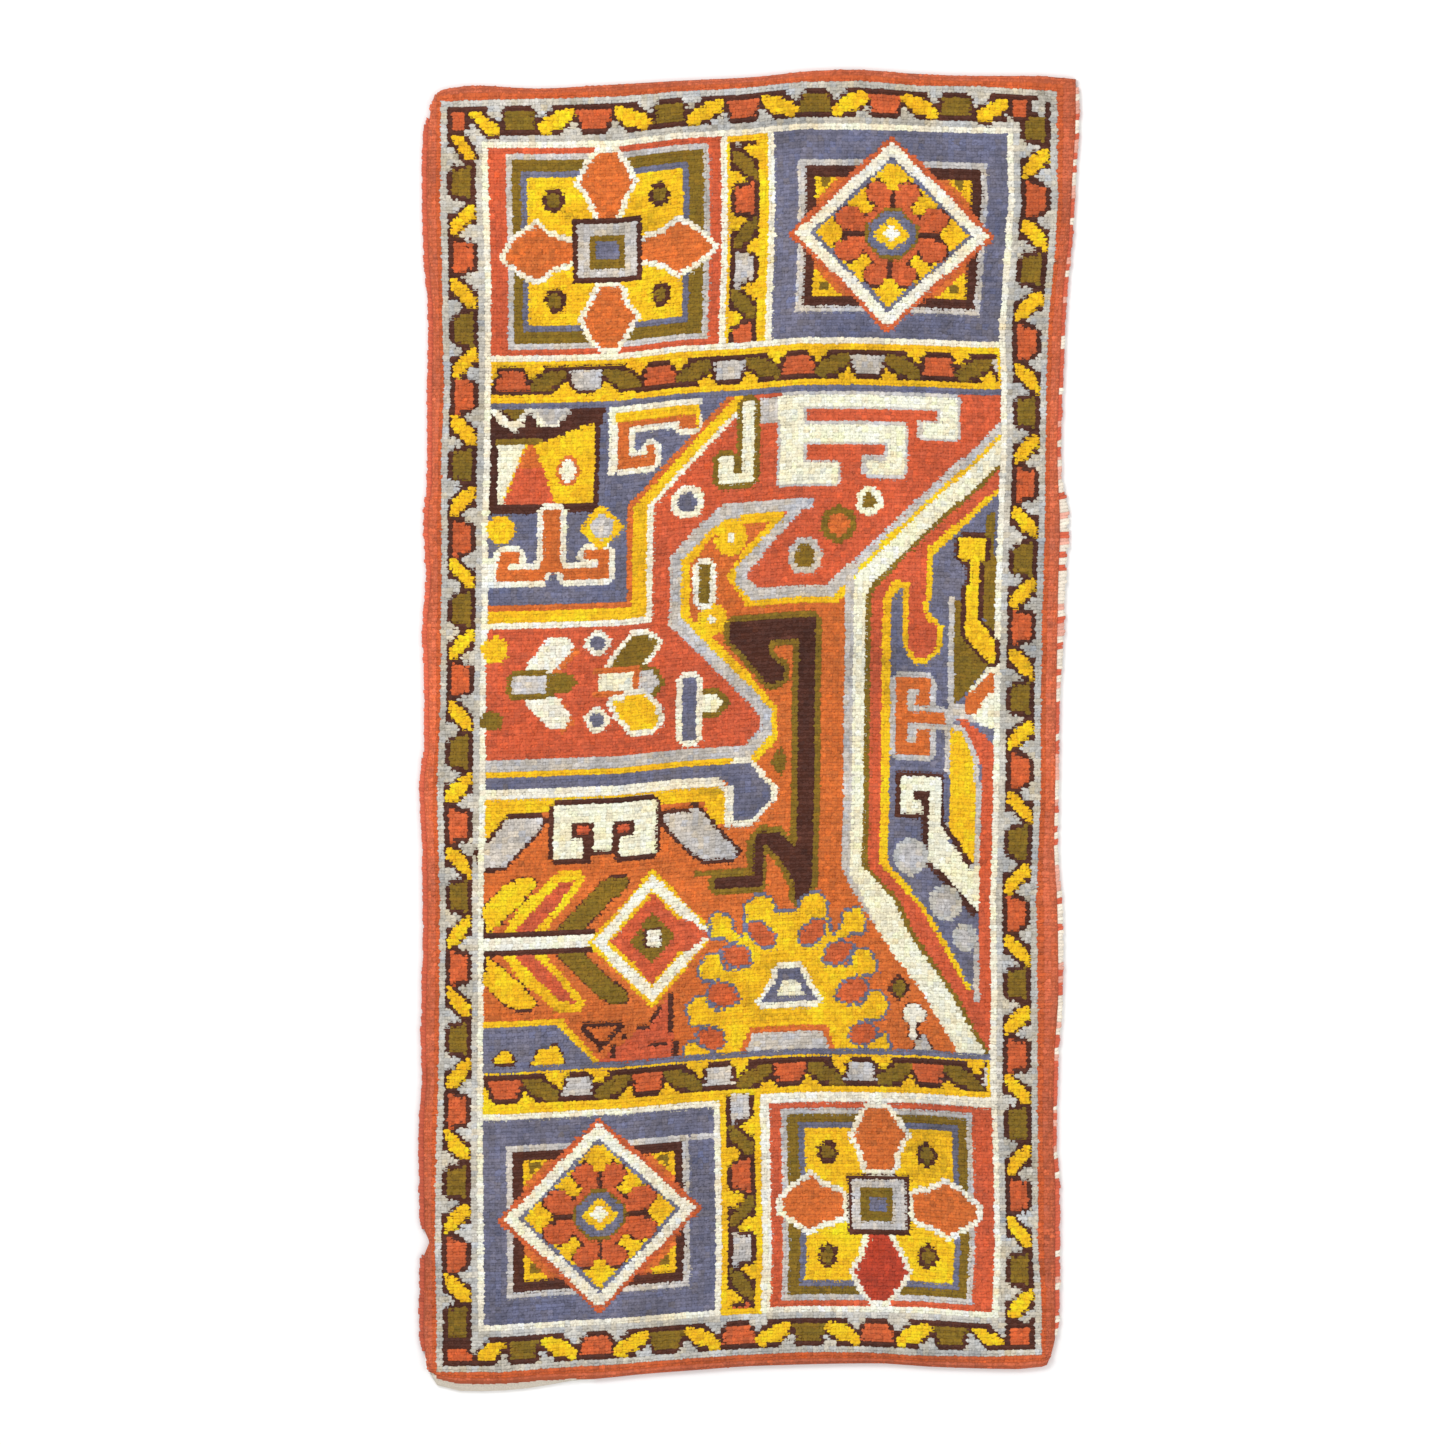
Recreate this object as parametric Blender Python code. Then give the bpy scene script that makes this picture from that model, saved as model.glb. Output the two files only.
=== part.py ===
"""Hand-knotted wool sampler rug, lying flat, pile side up.

The knotted cloth is one piece: a woven foundation with pile all over it, apart
from a bare strip of foundation left at one corner of the lower end. Both long
sides are overcast with wool, and the left overcasting is broken at a nick.

Units are metres and +Z is up. The upper end of the design points along +Y, and
the origin is the middle of the whole rug's box, on the surface it lies on.
"""
from collections import namedtuple

import bmesh
import bpy
import numpy as np

MM = 0.001

# Thickness of the cloth
FOUNDATION_THICKNESS = 2.5 * MM
PILE_HEIGHT = 5.5 * MM
THICKNESS = FOUNDATION_THICKNESS + PILE_HEIGHT
RIM_WALL_HEIGHT = 5.5 * MM
PILE_UNEVENNESS = 0.25 * MM

# Slow waves over the pile surface, in radians for each metre across and along
Wave = namedtuple("Wave", "across along")
PILE_WAVES = (Wave(19.0, 7.0), Wave(-11.0, 31.0), Wave(23.0, 53.0))

# Distances in from the edge at which the pile's rounded rim has its rows
RIM_INSETS = (0.0, 1.2 * MM, 4.0 * MM, 9.0 * MM)
LOWER_RIM_INSETS = (0.0, 1.2 * MM, 4.0 * MM, 7.0 * MM, 8.2 * MM, 11.0 * MM, 16.0 * MM)
CROSSWISE_ROWS = 28
LENGTHWISE_ROWS = 57

# Pile surface above the floor, by distance in from where the pile starts
RimHeight = namedtuple("RimHeight", "inset height")
RIM_PROFILE = (
    RimHeight(-1.2 * MM, FOUNDATION_THICKNESS),
    RimHeight(0.0, RIM_WALL_HEIGHT),
    RimHeight(1.2 * MM, 7.0 * MM),
    RimHeight(4.0 * MM, THICKNESS),
)

# Overcast bindings along the two long sides
PIECE_GAP = 0.3 * MM
BINDING_HEIGHT = 5.5 * MM
BINDING_STEP = 12.0 * MM
BINDING_END_SCALE = 0.55

# Lumps along a binding: their size as a part of its width, and their pitch in
# radians for each metre, which drifts to and fro by a slower wave
BINDING_LUMP = 0.10
LUMP_PITCH = 310.0
LUMP_DRIFT = 2.0
LUMP_DRIFT_PITCH = 47.0

# Nick in the left side, in millimetres along the rug
NICK_LOWER = -496
NICK_DEEPEST = -485
NICK_UPPER = -473

# Edges of the knotted cloth, in millimetres from the middle of its design.
# A side's points run from the lower end up, and an end's from left to right.
EdgePoint = namedtuple("EdgePoint", "along across")
LEFT_EDGE = (
    EdgePoint(-604, -306),
    EdgePoint(-588, -308.5),
    EdgePoint(-568, -310),
    EdgePoint(-511, -309),
    EdgePoint(NICK_LOWER, -309),
    EdgePoint(NICK_DEEPEST, -304.5),
    EdgePoint(NICK_UPPER, -309),
    EdgePoint(-369, -310),
    EdgePoint(-335, -307),
    EdgePoint(-283, -308),
    EdgePoint(-198, -306),
    EdgePoint(-103, -307),
    EdgePoint(-50, -310),
    EdgePoint(-17, -305),
    EdgePoint(49, -305),
    EdgePoint(97, -307),
    EdgePoint(144, -303),
    EdgePoint(201, -306),
    EdgePoint(239, -302),
    EdgePoint(315, -302),
    EdgePoint(391, -301),
    EdgePoint(448, -305),
    EdgePoint(524, -307),
    EdgePoint(583, -305),
    EdgePoint(603, -300),
)
RIGHT_EDGE = (
    EdgePoint(-592, 286),
    EdgePoint(-573, 290),
    EdgePoint(-521, 290),
    EdgePoint(-426, 290),
    EdgePoint(-388, 288),
    EdgePoint(-312, 289),
    EdgePoint(-245, 293),
    EdgePoint(-164, 292),
    EdgePoint(-112, 289),
    EdgePoint(-55, 290),
    EdgePoint(30, 291),
    EdgePoint(149, 293),
    EdgePoint(192, 294.5),
    EdgePoint(268, 292),
    EdgePoint(344, 294.5),
    EdgePoint(420, 298),
    EdgePoint(467, 303),
    EdgePoint(539, 307),
    EdgePoint(581, 309.5),
    EdgePoint(620, 309.5),
)
UPPER_EDGE = (
    EdgePoint(-300, 603),
    EdgePoint(-292, 610),
    EdgePoint(-261, 614),
    EdgePoint(-204, 611),
    EdgePoint(-142, 614),
    EdgePoint(-66, 618.5),
    EdgePoint(5, 622),
    EdgePoint(62, 628),
    EdgePoint(100, 629),
    EdgePoint(157, 625),
    EdgePoint(214, 623),
    EdgePoint(271, 623),
    EdgePoint(309.5, 620),
)
LOWER_EDGE = (
    EdgePoint(-306, -604),
    EdgePoint(-298, -619),
    EdgePoint(-292, -625),
    EdgePoint(-252, -626),
    EdgePoint(-200, -622),
    EdgePoint(-178, -617),
    EdgePoint(-142, -614),
    EdgePoint(-104, -610),
    EdgePoint(-52, -606),
    EdgePoint(5, -602),
    EdgePoint(119, -599.5),
    EdgePoint(176, -603),
    EdgePoint(256, -605),
    EdgePoint(281, -602),
    EdgePoint(286, -592),
)

# Depth of the bare foundation beyond the pile at the lower end
BareStrip = namedtuple("BareStrip", "along depth")
BARE_STRIP = (
    BareStrip(-306, 5),
    BareStrip(-292, 6.5),
    BareStrip(-252, 7),
    BareStrip(-200, 6),
    BareStrip(-178, 3),
    BareStrip(-142, 0),
)

# Width of each length of binding, by place along its side
BindingWidth = namedtuple("BindingWidth", "along width")
LEFT_UPPER_BINDING = (
    BindingWidth(NICK_UPPER + 1, 4.5),
    BindingWidth(583, 4.5),
)
LEFT_LOWER_BINDING = (
    BindingWidth(-588, 4.5),
    BindingWidth(NICK_LOWER - 1, 4.5),
)
RIGHT_BINDING = (
    BindingWidth(-573, 3.5),
    BindingWidth(-520, 4.5),
    BindingWidth(-426, 4.5),
    BindingWidth(-388, 3),
    BindingWidth(-312, 4),
    BindingWidth(-245, 4.5),
    BindingWidth(-164, 5),
    BindingWidth(-112, 3.5),
    BindingWidth(30, 3),
    BindingWidth(87, 6.5),
    BindingWidth(149, 7),
    BindingWidth(192, 9),
    BindingWidth(220, 7),
    BindingWidth(240, 3.5),
    BindingWidth(612, 3.5),
)

# A binding's cross-section: how far out and how high, as parts of its width and height
SectionPoint = namedtuple("SectionPoint", "out up")
BINDING_SECTION = (
    SectionPoint(0.0, 0.0),
    SectionPoint(0.75, 0.0),
    SectionPoint(1.0, 0.35),
    SectionPoint(0.85, 0.8),
    SectionPoint(0.45, 1.0),
    SectionPoint(0.0, 0.75),
)

# Colours of the dyed wool, linear red, green and blue
PILE_COLOUR = (0.62, 0.13, 0.05)
BINDING_COLOUR = (0.60, 0.10, 0.04)
WOOL_ROUGHNESS = 0.95
SHARP_ANGLE = np.radians(50.0)

Solid = namedtuple("Solid", "name points faces colour")


def clear_scene():
    """Remove whatever the open file holds."""
    for item in list(bpy.data.objects):
        bpy.data.objects.remove(item, do_unlink=True)


def columns(table):
    """A table's first two columns, in metres."""
    rows = np.array(table, dtype=float) * MM
    return rows[:, 0], rows[:, 1]


def smooth_curve(table, stations):
    """Smooth curve through a table's points that never swings past them."""
    along, across = columns(table)
    secants = np.diff(across) / np.diff(along)
    before, after = secants[:-1], secants[1:]
    inner = np.zeros_like(before)
    same_way = before * after > 0.0
    inner[same_way] = 2.0 * before[same_way] * after[same_way] / (before + after)[same_way]
    slopes = np.concatenate([secants[:1], inner, secants[-1:]])

    last_segment = len(along) - 2
    segment = np.clip(np.searchsorted(along, stations) - 1, 0, last_segment)
    step = along[segment + 1] - along[segment]
    t = (stations - along[segment]) / step
    rise = across[segment + 1] - across[segment]
    ease = t * t * (3.0 - 2.0 * t)
    lean_in = step * slopes[segment] * t * (1.0 - t) ** 2
    lean_out = step * slopes[segment + 1] * t * t * (1.0 - t)
    return across[segment] + rise * ease + lean_in - lean_out


def row_places(start, end, first_insets, last_insets, inner_rows, extra=()):
    """Places of the rows between two edges, closer together at the rims."""
    inner = np.linspace(start + first_insets[-1], end - last_insets[-1], inner_rows)
    first = start + np.array(first_insets[:-1])
    last = end - np.array(last_insets[:-1])
    return np.unique(np.concatenate([first, inner, last, np.array(extra)]))


def surface_grid():
    """Rows of points that fill the four edges, as a grid of x and y."""
    left_along, _ = columns(LEFT_EDGE)
    lower_along, _ = columns(LOWER_EDGE)
    right_along, _ = columns(RIGHT_EDGE)
    upper_along, _ = columns(UPPER_EDGE)

    nick = np.array([NICK_LOWER, NICK_DEEPEST, NICK_UPPER]) * MM
    v_places = row_places(left_along[0], left_along[-1], LOWER_RIM_INSETS, RIM_INSETS,
                          LENGTHWISE_ROWS, nick)
    u_places = row_places(lower_along[0], lower_along[-1], RIM_INSETS, RIM_INSETS,
                          CROSSWISE_ROWS)
    v = (v_places - left_along[0]) / (left_along[-1] - left_along[0])
    u = (u_places - lower_along[0]) / (lower_along[-1] - lower_along[0])

    left_y = left_along[0] + v * (left_along[-1] - left_along[0])
    right_y = right_along[0] + v * (right_along[-1] - right_along[0])
    lower_x = lower_along[0] + u * (lower_along[-1] - lower_along[0])
    upper_x = upper_along[0] + u * (upper_along[-1] - upper_along[0])
    left = np.stack([smooth_curve(LEFT_EDGE, left_y), left_y], axis=1)
    right = np.stack([smooth_curve(RIGHT_EDGE, right_y), right_y], axis=1)
    lower = np.stack([lower_x, smooth_curve(LOWER_EDGE, lower_x)], axis=1)
    upper = np.stack([upper_x, smooth_curve(UPPER_EDGE, upper_x)], axis=1)

    across = u[None, :, None]
    along = v[:, None, None]
    between_sides = (1.0 - across) * left[:, None] + across * right[:, None]
    between_ends = (1.0 - along) * lower[None] + along * upper[None]
    lower_corners = (1.0 - across) * lower[0] + across * lower[-1]
    upper_corners = (1.0 - across) * upper[0] + across * upper[-1]
    corners = (1.0 - along) * lower_corners + along * upper_corners
    return between_sides + between_ends - corners, u, v


def surface_heights(grid, u, v):
    """Height of the pile over each grid point, lower at the rim and bare strip."""
    width = grid[:, -1, 0] - grid[:, 0, 0]
    length = grid[-1, :, 1] - grid[0, :, 1]
    strip_along, strip_depth = columns(BARE_STRIP)
    bare = np.interp(grid[0, :, 0], strip_along, strip_depth)
    from_left = u[None, :] * width[:, None]
    from_right = (1.0 - u)[None, :] * width[:, None]
    from_lower = v[:, None] * length[None, :] - bare[None, :]
    from_upper = (1.0 - v)[:, None] * length[None, :]
    inset = np.minimum(np.minimum(from_left, from_right), np.minimum(from_lower, from_upper))

    profile = np.array(RIM_PROFILE)
    height = np.interp(inset, profile[:, 0], profile[:, 1])
    ripple = np.zeros_like(height)
    for wave in PILE_WAVES:
        ripple += np.sin(wave.across * grid[..., 0] + wave.along * grid[..., 1]) / len(PILE_WAVES)
    full_inset = RIM_PROFILE[-1].inset
    away_from_rim = np.clip((inset - full_inset) / full_inset, 0.0, 1.0)
    return height + PILE_UNEVENNESS * ripple * away_from_rim


def grid_rim(rows, across):
    """Indices of a grid's outer points, once round, starting along the lower end."""
    index = np.arange(rows * across).reshape(rows, across)
    return np.concatenate([index[0, :-1], index[:-1, -1], index[-1, :0:-1], index[:0:-1, 0]])


def knotted_cloth(grid, heights):
    """Closed solid from the pile surface down to one flat underside."""
    rows, across = heights.shape
    top = np.concatenate([grid, heights[..., None]], axis=2).reshape(-1, 3)
    rim = grid_rim(rows, across)
    underside = top[rim] * (1.0, 1.0, 0.0)
    faces = []
    for row in range(rows - 1):
        for column in range(across - 1):
            corner = row * across + column
            faces.append((corner, corner + 1, corner + across + 1, corner + across))
    base = len(top)
    for place, index in enumerate(rim):
        after = (place + 1) % len(rim)
        faces.append((base + place, base + after, rim[after], index))
    faces.append(tuple(range(base + len(rim) - 1, base - 1, -1)))
    return Solid("rug_body", np.concatenate([top, underside]), faces, PILE_COLOUR)


def binding(name, edge, outward, widths):
    """Overcast binding beside one side of the cloth, lumpy and pinched at its ends."""
    along, width = columns(widths)
    steps = int(np.ceil((along[-1] - along[0]) / BINDING_STEP))
    inside = edge[(edge[:, 1] > along[0]) & (edge[:, 1] < along[-1])]
    places = np.unique(np.concatenate([np.linspace(along[0], along[-1], steps + 1), inside[:, 1]]))
    inner_x = np.interp(places, edge[:, 1], edge[:, 0]) + outward * PIECE_GAP
    drift = LUMP_DRIFT * np.sin(places * LUMP_DRIFT_PITCH)
    lump = 1.0 + BINDING_LUMP * np.sin(places * LUMP_PITCH + drift)
    lump[[0, -1]] *= BINDING_END_SCALE

    sections = []
    for place, x, scale, wide in zip(places, inner_x, lump, np.interp(places, along, width)):
        for point in BINDING_SECTION:
            out = x + outward * point.out * wide * scale
            sections.append((out, place, point.up * BINDING_HEIGHT * scale))
    size = len(BINDING_SECTION)
    faces = [tuple(range(size)), tuple(range(len(sections) - size, len(sections)))]
    for start in range(0, len(sections) - size, size):
        for corner in range(size):
            after = (corner + 1) % size
            faces.append((start + corner, start + after, start + size + after, start + size + corner))
    return Solid(name, np.array(sections), faces, BINDING_COLOUR)


def wool_material(name, colour):
    """Dull dyed wool."""
    material = bpy.data.materials.new(name)
    material.use_nodes = True
    shader = material.node_tree.nodes["Principled BSDF"]
    shader.inputs["Base Color"].default_value = (*colour, 1.0)
    shader.inputs["Roughness"].default_value = WOOL_ROUGHNESS
    shader.inputs["Metallic"].default_value = 0.0
    return material


def add_object(solid, shift):
    """Make one solid's object, with its faces outwards and its surface smooth."""
    mesh = bpy.data.meshes.new(solid.name)
    shape = bmesh.new()
    points = [shape.verts.new(point - shift) for point in solid.points]
    for face in solid.faces:
        shape.faces.new([points[index] for index in face])
    bmesh.ops.recalc_face_normals(shape, faces=shape.faces)
    shape.to_mesh(mesh)
    shape.free()
    mesh.shade_smooth()
    mesh.set_sharp_from_angle(angle=SHARP_ANGLE)
    mesh.materials.append(wool_material(solid.name + "_wool", solid.colour))
    item = bpy.data.objects.new(solid.name, mesh)
    bpy.context.scene.collection.objects.link(item)


def main():
    clear_scene()
    grid, u, v = surface_grid()
    cloth = knotted_cloth(grid, surface_heights(grid, u, v))
    left_edge = grid[:, 0]
    right_edge = grid[:, -1]
    solids = [
        cloth,
        binding("left_binding_upper", left_edge, -1.0, LEFT_UPPER_BINDING),
        binding("left_binding_lower", left_edge, -1.0, LEFT_LOWER_BINDING),
        binding("right_binding", right_edge, 1.0, RIGHT_BINDING),
    ]
    everything = np.concatenate([solid.points for solid in solids])
    middle = (everything.min(axis=0) + everything.max(axis=0)) / 2.0
    middle[2] = 0.0
    for solid in solids:
        add_object(solid, middle)


main()
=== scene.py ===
"""Oushak sampler rug: knotted wool pile, ground weave and overcast sides."""
import math

import bpy
import numpy as np
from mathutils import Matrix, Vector
from mathutils.geometry import delaunay_2d_cdt


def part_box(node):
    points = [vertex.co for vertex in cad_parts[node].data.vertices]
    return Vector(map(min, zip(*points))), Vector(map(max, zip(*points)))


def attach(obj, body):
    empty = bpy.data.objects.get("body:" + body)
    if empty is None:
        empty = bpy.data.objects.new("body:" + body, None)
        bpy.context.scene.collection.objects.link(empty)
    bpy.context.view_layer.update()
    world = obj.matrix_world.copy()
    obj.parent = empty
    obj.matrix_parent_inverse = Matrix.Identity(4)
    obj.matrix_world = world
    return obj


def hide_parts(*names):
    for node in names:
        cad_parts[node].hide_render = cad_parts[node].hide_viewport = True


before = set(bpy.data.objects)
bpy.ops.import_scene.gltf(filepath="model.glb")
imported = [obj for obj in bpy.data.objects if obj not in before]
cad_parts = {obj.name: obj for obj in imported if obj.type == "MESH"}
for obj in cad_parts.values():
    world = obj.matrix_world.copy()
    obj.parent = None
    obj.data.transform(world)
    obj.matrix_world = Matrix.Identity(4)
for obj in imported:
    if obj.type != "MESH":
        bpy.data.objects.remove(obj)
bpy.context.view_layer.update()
CHANCE = np.random.default_rng(7)

# Dyes, as sRGB

(RED, EDGE, ORANGE, YELLOW, OLIVE, SLATE, GREY, GUARD, CREAM, WHITE, BROWN, CRIMSON, MADDER) = range(13)
DYES = {
    RED: (210, 94, 56), EDGE: (217, 110, 72), ORANGE: (214, 111, 46), YELLOW: (253, 196, 18),
    OLIVE: (133, 104, 22), SLATE: (113, 112, 133), GREY: (202, 195, 188), GUARD: (198, 193, 183),
    CREAM: (250, 242, 213), WHITE: (249, 239, 216), BROWN: (84, 45, 33), CRIMSON: (188, 66, 40),
    MADDER: (206, 97, 50),
}

# Chart of knots

ROWS = 218
COLUMNS = 110
# The chart is kept in half knots; places on it are given in knots from the upper left corner
SPLIT = 2
row_of, column_of = np.mgrid[0:ROWS * SPLIT, 0:COLUMNS * SPLIT]
across = (column_of + 0.5) / SPLIT
down = (row_of + 0.5) / SPLIT
chart = np.full(across.shape, EDGE)


def block(left, right, top, bottom):
    """Knots between two columns and two rows."""
    return (across >= left) & (across < right) & (down >= top) & (down < bottom)


def shape(*corners):
    """Knots whose middles lie inside a polygon of (column, row) corners."""
    inside = np.zeros(chart.shape, bool)
    for (c0, r0), (c1, r1) in zip(corners, corners[1:] + corners[:1]):
        if r0 == r1:
            continue
        crosses = (r0 > down) != (r1 > down)
        inside ^= crosses & (across < c0 + (down - r0) * (c1 - c0) / (r1 - r0))
    return inside


def line(width, *points):
    """Knots within half a width of a path."""
    near = np.zeros(chart.shape, bool)
    for (c0, r0), (c1, r1) in zip(points, points[1:]):
        long2 = (c1 - c0) ** 2 + (r1 - r0) ** 2
        t = np.clip(((across - c0) * (c1 - c0) + (down - r0) * (r1 - r0)) / long2, 0, 1)
        near |= np.hypot(across - c0 - t * (c1 - c0), down - r0 - t * (r1 - r0)) <= width / 2
    return near


def right_of(*points):
    """Knots to the right of a path that runs down the rug, as far as the inner edge."""
    columns, rows = zip(*points)
    inside = (down >= rows[0]) & (down < rows[-1]) & (across < 99)
    return inside & (across >= np.interp(down, rows, columns))


def round_patch(column, row, half_column, half_row=None):
    """An ellipse of knots."""
    half_row = half_row or half_column
    return ((across - column) / half_column) ** 2 + ((down - row) / half_row) ** 2 <= 1


def grown(mask, halves=2):
    """A mask and what touches its sides, out to some half knots."""
    for _ in range(halves):
        wider = mask.copy()
        wider[1:] |= mask[:-1]
        wider[:-1] |= mask[1:]
        wider[:, 1:] |= mask[:, :-1]
        wider[:, :-1] |= mask[:, 1:]
        mask = wider
    return mask


def paint(dye, *masks):
    for mask in masks:
        chart[mask] = dye


def edged(dye, outline, *masks, halves=2):
    """Shapes of one dye with a line of another around them all, some half knots wide."""
    together = np.logical_or.reduce(masks)
    paint(outline, grown(together, halves))
    paint(dye, together)


def meander(along, over, middles, outer_first, outer_dye, inner_dye, leaf_dye, start, stop, leaf_long, slant):
    """A brown line that swings between two runs, with a blob on each run and a leaf at each swing.

    Over counts knots across the strip: the outer run is 1 to 2, the blobs 2 to 5, the inner run 5 to 6.
    """
    zone = (over >= 1) & (over < 6) & (along >= start) & (along < stop)
    turns = [start] + [(a + b) / 2 for a, b in zip(middles, middles[1:])] + [stop]
    blobs = []
    leaves = []
    for count, (middle, begin, end) in enumerate(zip(middles, turns, turns[1:])):
        outer = outer_first if count % 2 == 0 else not outer_first
        run = (over < 2) if outer else (over >= 5)
        paint(BROWN, zone & run & (along > begin - 1) & (along < end + 1))
        depth = (over - 2) if outer else (5 - over)
        reach = 2.7 - 0.3 * depth + 0.25 * np.sin(depth * 5)
        blobs.append(((over >= 2) & (over < 5) & (abs(along - middle) < reach), outer_dye if outer else inner_dye))
        if end < stop:
            slope = slant if outer else -slant
            swing = np.clip(1 - ((along - end) / leaf_long) ** 2, 0, None)
            leaves.append(abs(over - 3.5 - slope * (along - end)) < 1.35 * swing ** 0.5)
    for leaf in leaves:
        paint(BROWN, grown(leaf) & zone)
    for blob, dye in blobs:
        paint(BROWN, grown(blob) & zone)
    for leaf in leaves:
        paint(leaf_dye, leaf & zone & (over > 1.7) & (over < 5.4))
    for blob, dye in blobs:
        paint(dye, blob & zone)


# Half length and slant of the leaves of a strip that lies across the rug or runs down it
LYING = (3.1, 0.42)
UPRIGHT = (2.6, 0.8)


def paint_border():
    """Red edge, grey guard, vine with yellow leaves, and a white stripe inside."""
    paint(MADDER, block(2, 108, 1, 217))
    paint(GUARD, block(3, 107, 2, 216))
    paint(WHITE, block(10, 100, 9, 209))
    tops = [16.3, 29, 41.8, 54.3, 66.5, 78.3, 90.3]
    meander(across, down - 2, tops, False, MADDER, OLIVE, YELLOW, 10.3, 99, *LYING)
    lefts = [15.7, 28.3, 40.5, 51.5, 63.2, 75.5, 87.5, 99.3, 111.5,
             123.8, 135.8, 147.7, 159.7, 171.7, 183.7, 196, 207.3]
    meander(down, across - 3, lefts, False, MADDER, OLIVE, YELLOW, 9.7, 213, *UPRIGHT)
    rights = [8.8, 21, 32.7, 45, 56.8, 68.8, 81.4, 92.8, 104.8,
              117, 129, 141, 152.8, 164.8, 176.3, 188.3, 200.8, 212.7]
    meander(down, 107 - across, rights, True, OLIVE, MADDER, YELLOW, 7, 215, *UPRIGHT)
    bottoms = [17.8, 30.5, 42.5, 55, 67.3, 79, 91.7]
    meander(across, 216 - down, bottoms, False, MADDER, OLIVE, YELLOW, 12.3, 99, *LYING)
    # upper left corner
    paint(BROWN, block(4, 11, 3, 4), block(4, 5, 3, 10), block(7, 8, 4, 7), block(5, 7, 7, 8))
    paint(MADDER, block(5, 7, 4, 7))
    edged(YELLOW, BROWN, shape((7.8, 4), (9.6, 4), (13, 6.6), (13, 7.6), (10.6, 7.6)))
    edged(YELLOW, BROWN, shape((5, 8), (6.6, 8), (8.4, 10.6), (8.4, 12), (7.2, 12)))
    # upper right corner
    paint(BROWN, block(96, 103, 3, 4), block(102, 104, 3, 7), block(105, 106, 4, 8))
    edged(YELLOW, BROWN, shape((94, 7.4), (94, 6), (97.4, 4), (99.6, 4), (99.6, 5), (96.5, 7.4)))
    edged(MADDER, BROWN, block(100, 102, 4, 7))
    paint(GUARD, block(103, 104, 4, 6))
    # lower left corner
    paint(BROWN, block(4, 5, 205, 215), block(4, 12, 214, 215), block(5, 9, 210, 212))
    paint(MADDER, shape((5, 211.8), (7.6, 211.8), (9, 213), (9, 214.2), (5, 214.2)))
    edged(YELLOW, BROWN, shape((10, 214), (10.2, 212.6), (12, 210.8), (14.6, 210.8), (12.6, 214)))
    # lower right corner
    edged(YELLOW, BROWN, shape((95.4, 211), (97.4, 211), (100.6, 213), (100.4, 214), (98, 214)))
    edged(MADDER, BROWN, block(102, 105, 211, 214))
    paint(BROWN, block(100, 106, 214, 215), block(105, 106, 209, 215), block(101, 102, 209, 215))


def petal_square(frames, petals, middle, half, dots):
    """Nested frames, four petals edged white, a small square in the middle, and four ringed dots."""
    for dye, left, right, top, bottom in frames:
        paint(dye, block(left, right, top, bottom))
    for dye, corners in petals:
        petal = shape(*corners)
        paint(WHITE, grown(petal))
        paint(dye, petal)
    column, row = middle
    for inset, dye in ((0, BROWN), (1, GREY), (2.8, OLIVE), (4.2, SLATE)):
        wide, tall = half[0] - inset, half[1] - inset
        paint(dye, block(column - wide, column + wide, row - tall, row + tall))
    for column, row in dots:
        paint(BROWN, round_patch(column, row, 1.9, 2.1))
        paint(OLIVE, round_patch(column, row, 1, 1.1))


def diamond_square(ground, corner_frames, middle):
    """A ringed diamond on slate, with an eight-lobed rosette in it and a yellow piece in each corner."""
    paint(SLATE, block(*ground))
    for dye, left, right, top, bottom in corner_frames:
        paint(dye, block(left, right, top, bottom))
    column, row = middle
    wide, tall = abs(across - column), abs(down - row)
    far = wide + tall * 1.06
    inner = corner_frames[-1]
    corner = block(*inner[1:])
    paint(ORANGE, corner & (far < 19.2))
    shade = (wide > inner[2] - column - 2.8) & (tall > inner[4] - row - 2.6) & corner
    paint(OLIVE, shade & (far > 19.4) & (wide < inner[2] - column - 1) & (tall < inner[4] - row - 0.9))
    for reach, dye in ((17.7, MADDER), (16.5, WHITE), (14, SLATE), (13.1, YELLOW)):
        paint(dye, far <= reach)
    upright = ((wide - 2.5) / 1.9) ** 2 + ((tall - 6.9) / 1.9) ** 2 <= 1
    upright |= (wide > 0.5) & (wide < 2.2) & (tall > 2) & (tall < 6.9)
    level = ((wide - 7.2) / 2.3) ** 2 + ((tall - 2.6) / 1.8) ** 2 <= 1
    level |= (tall > 0.5) & (tall < 2.4) & (wide > 2) & (wide < 7)
    edged(MADDER, BROWN, upright, level, far < 7.4, halves=1)
    paint(BROWN, (wide < 0.5) & (tall < 7.6) & (tall > 3.4), (tall < 0.5) & (wide < 8.4) & (wide > 3.4))
    paint(YELLOW, (wide < 1.2) & (tall >= 7.4) & (tall < 9.4))
    paint(OLIVE, (far < 6) & (wide < 4.4) & (tall < 4.2))
    paint(SLATE, (far < 5.5) & (wide < 3.9) & (tall < 3.8))
    paint(YELLOW, far < 3.2)
    paint(WHITE, far < 1.6)


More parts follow.
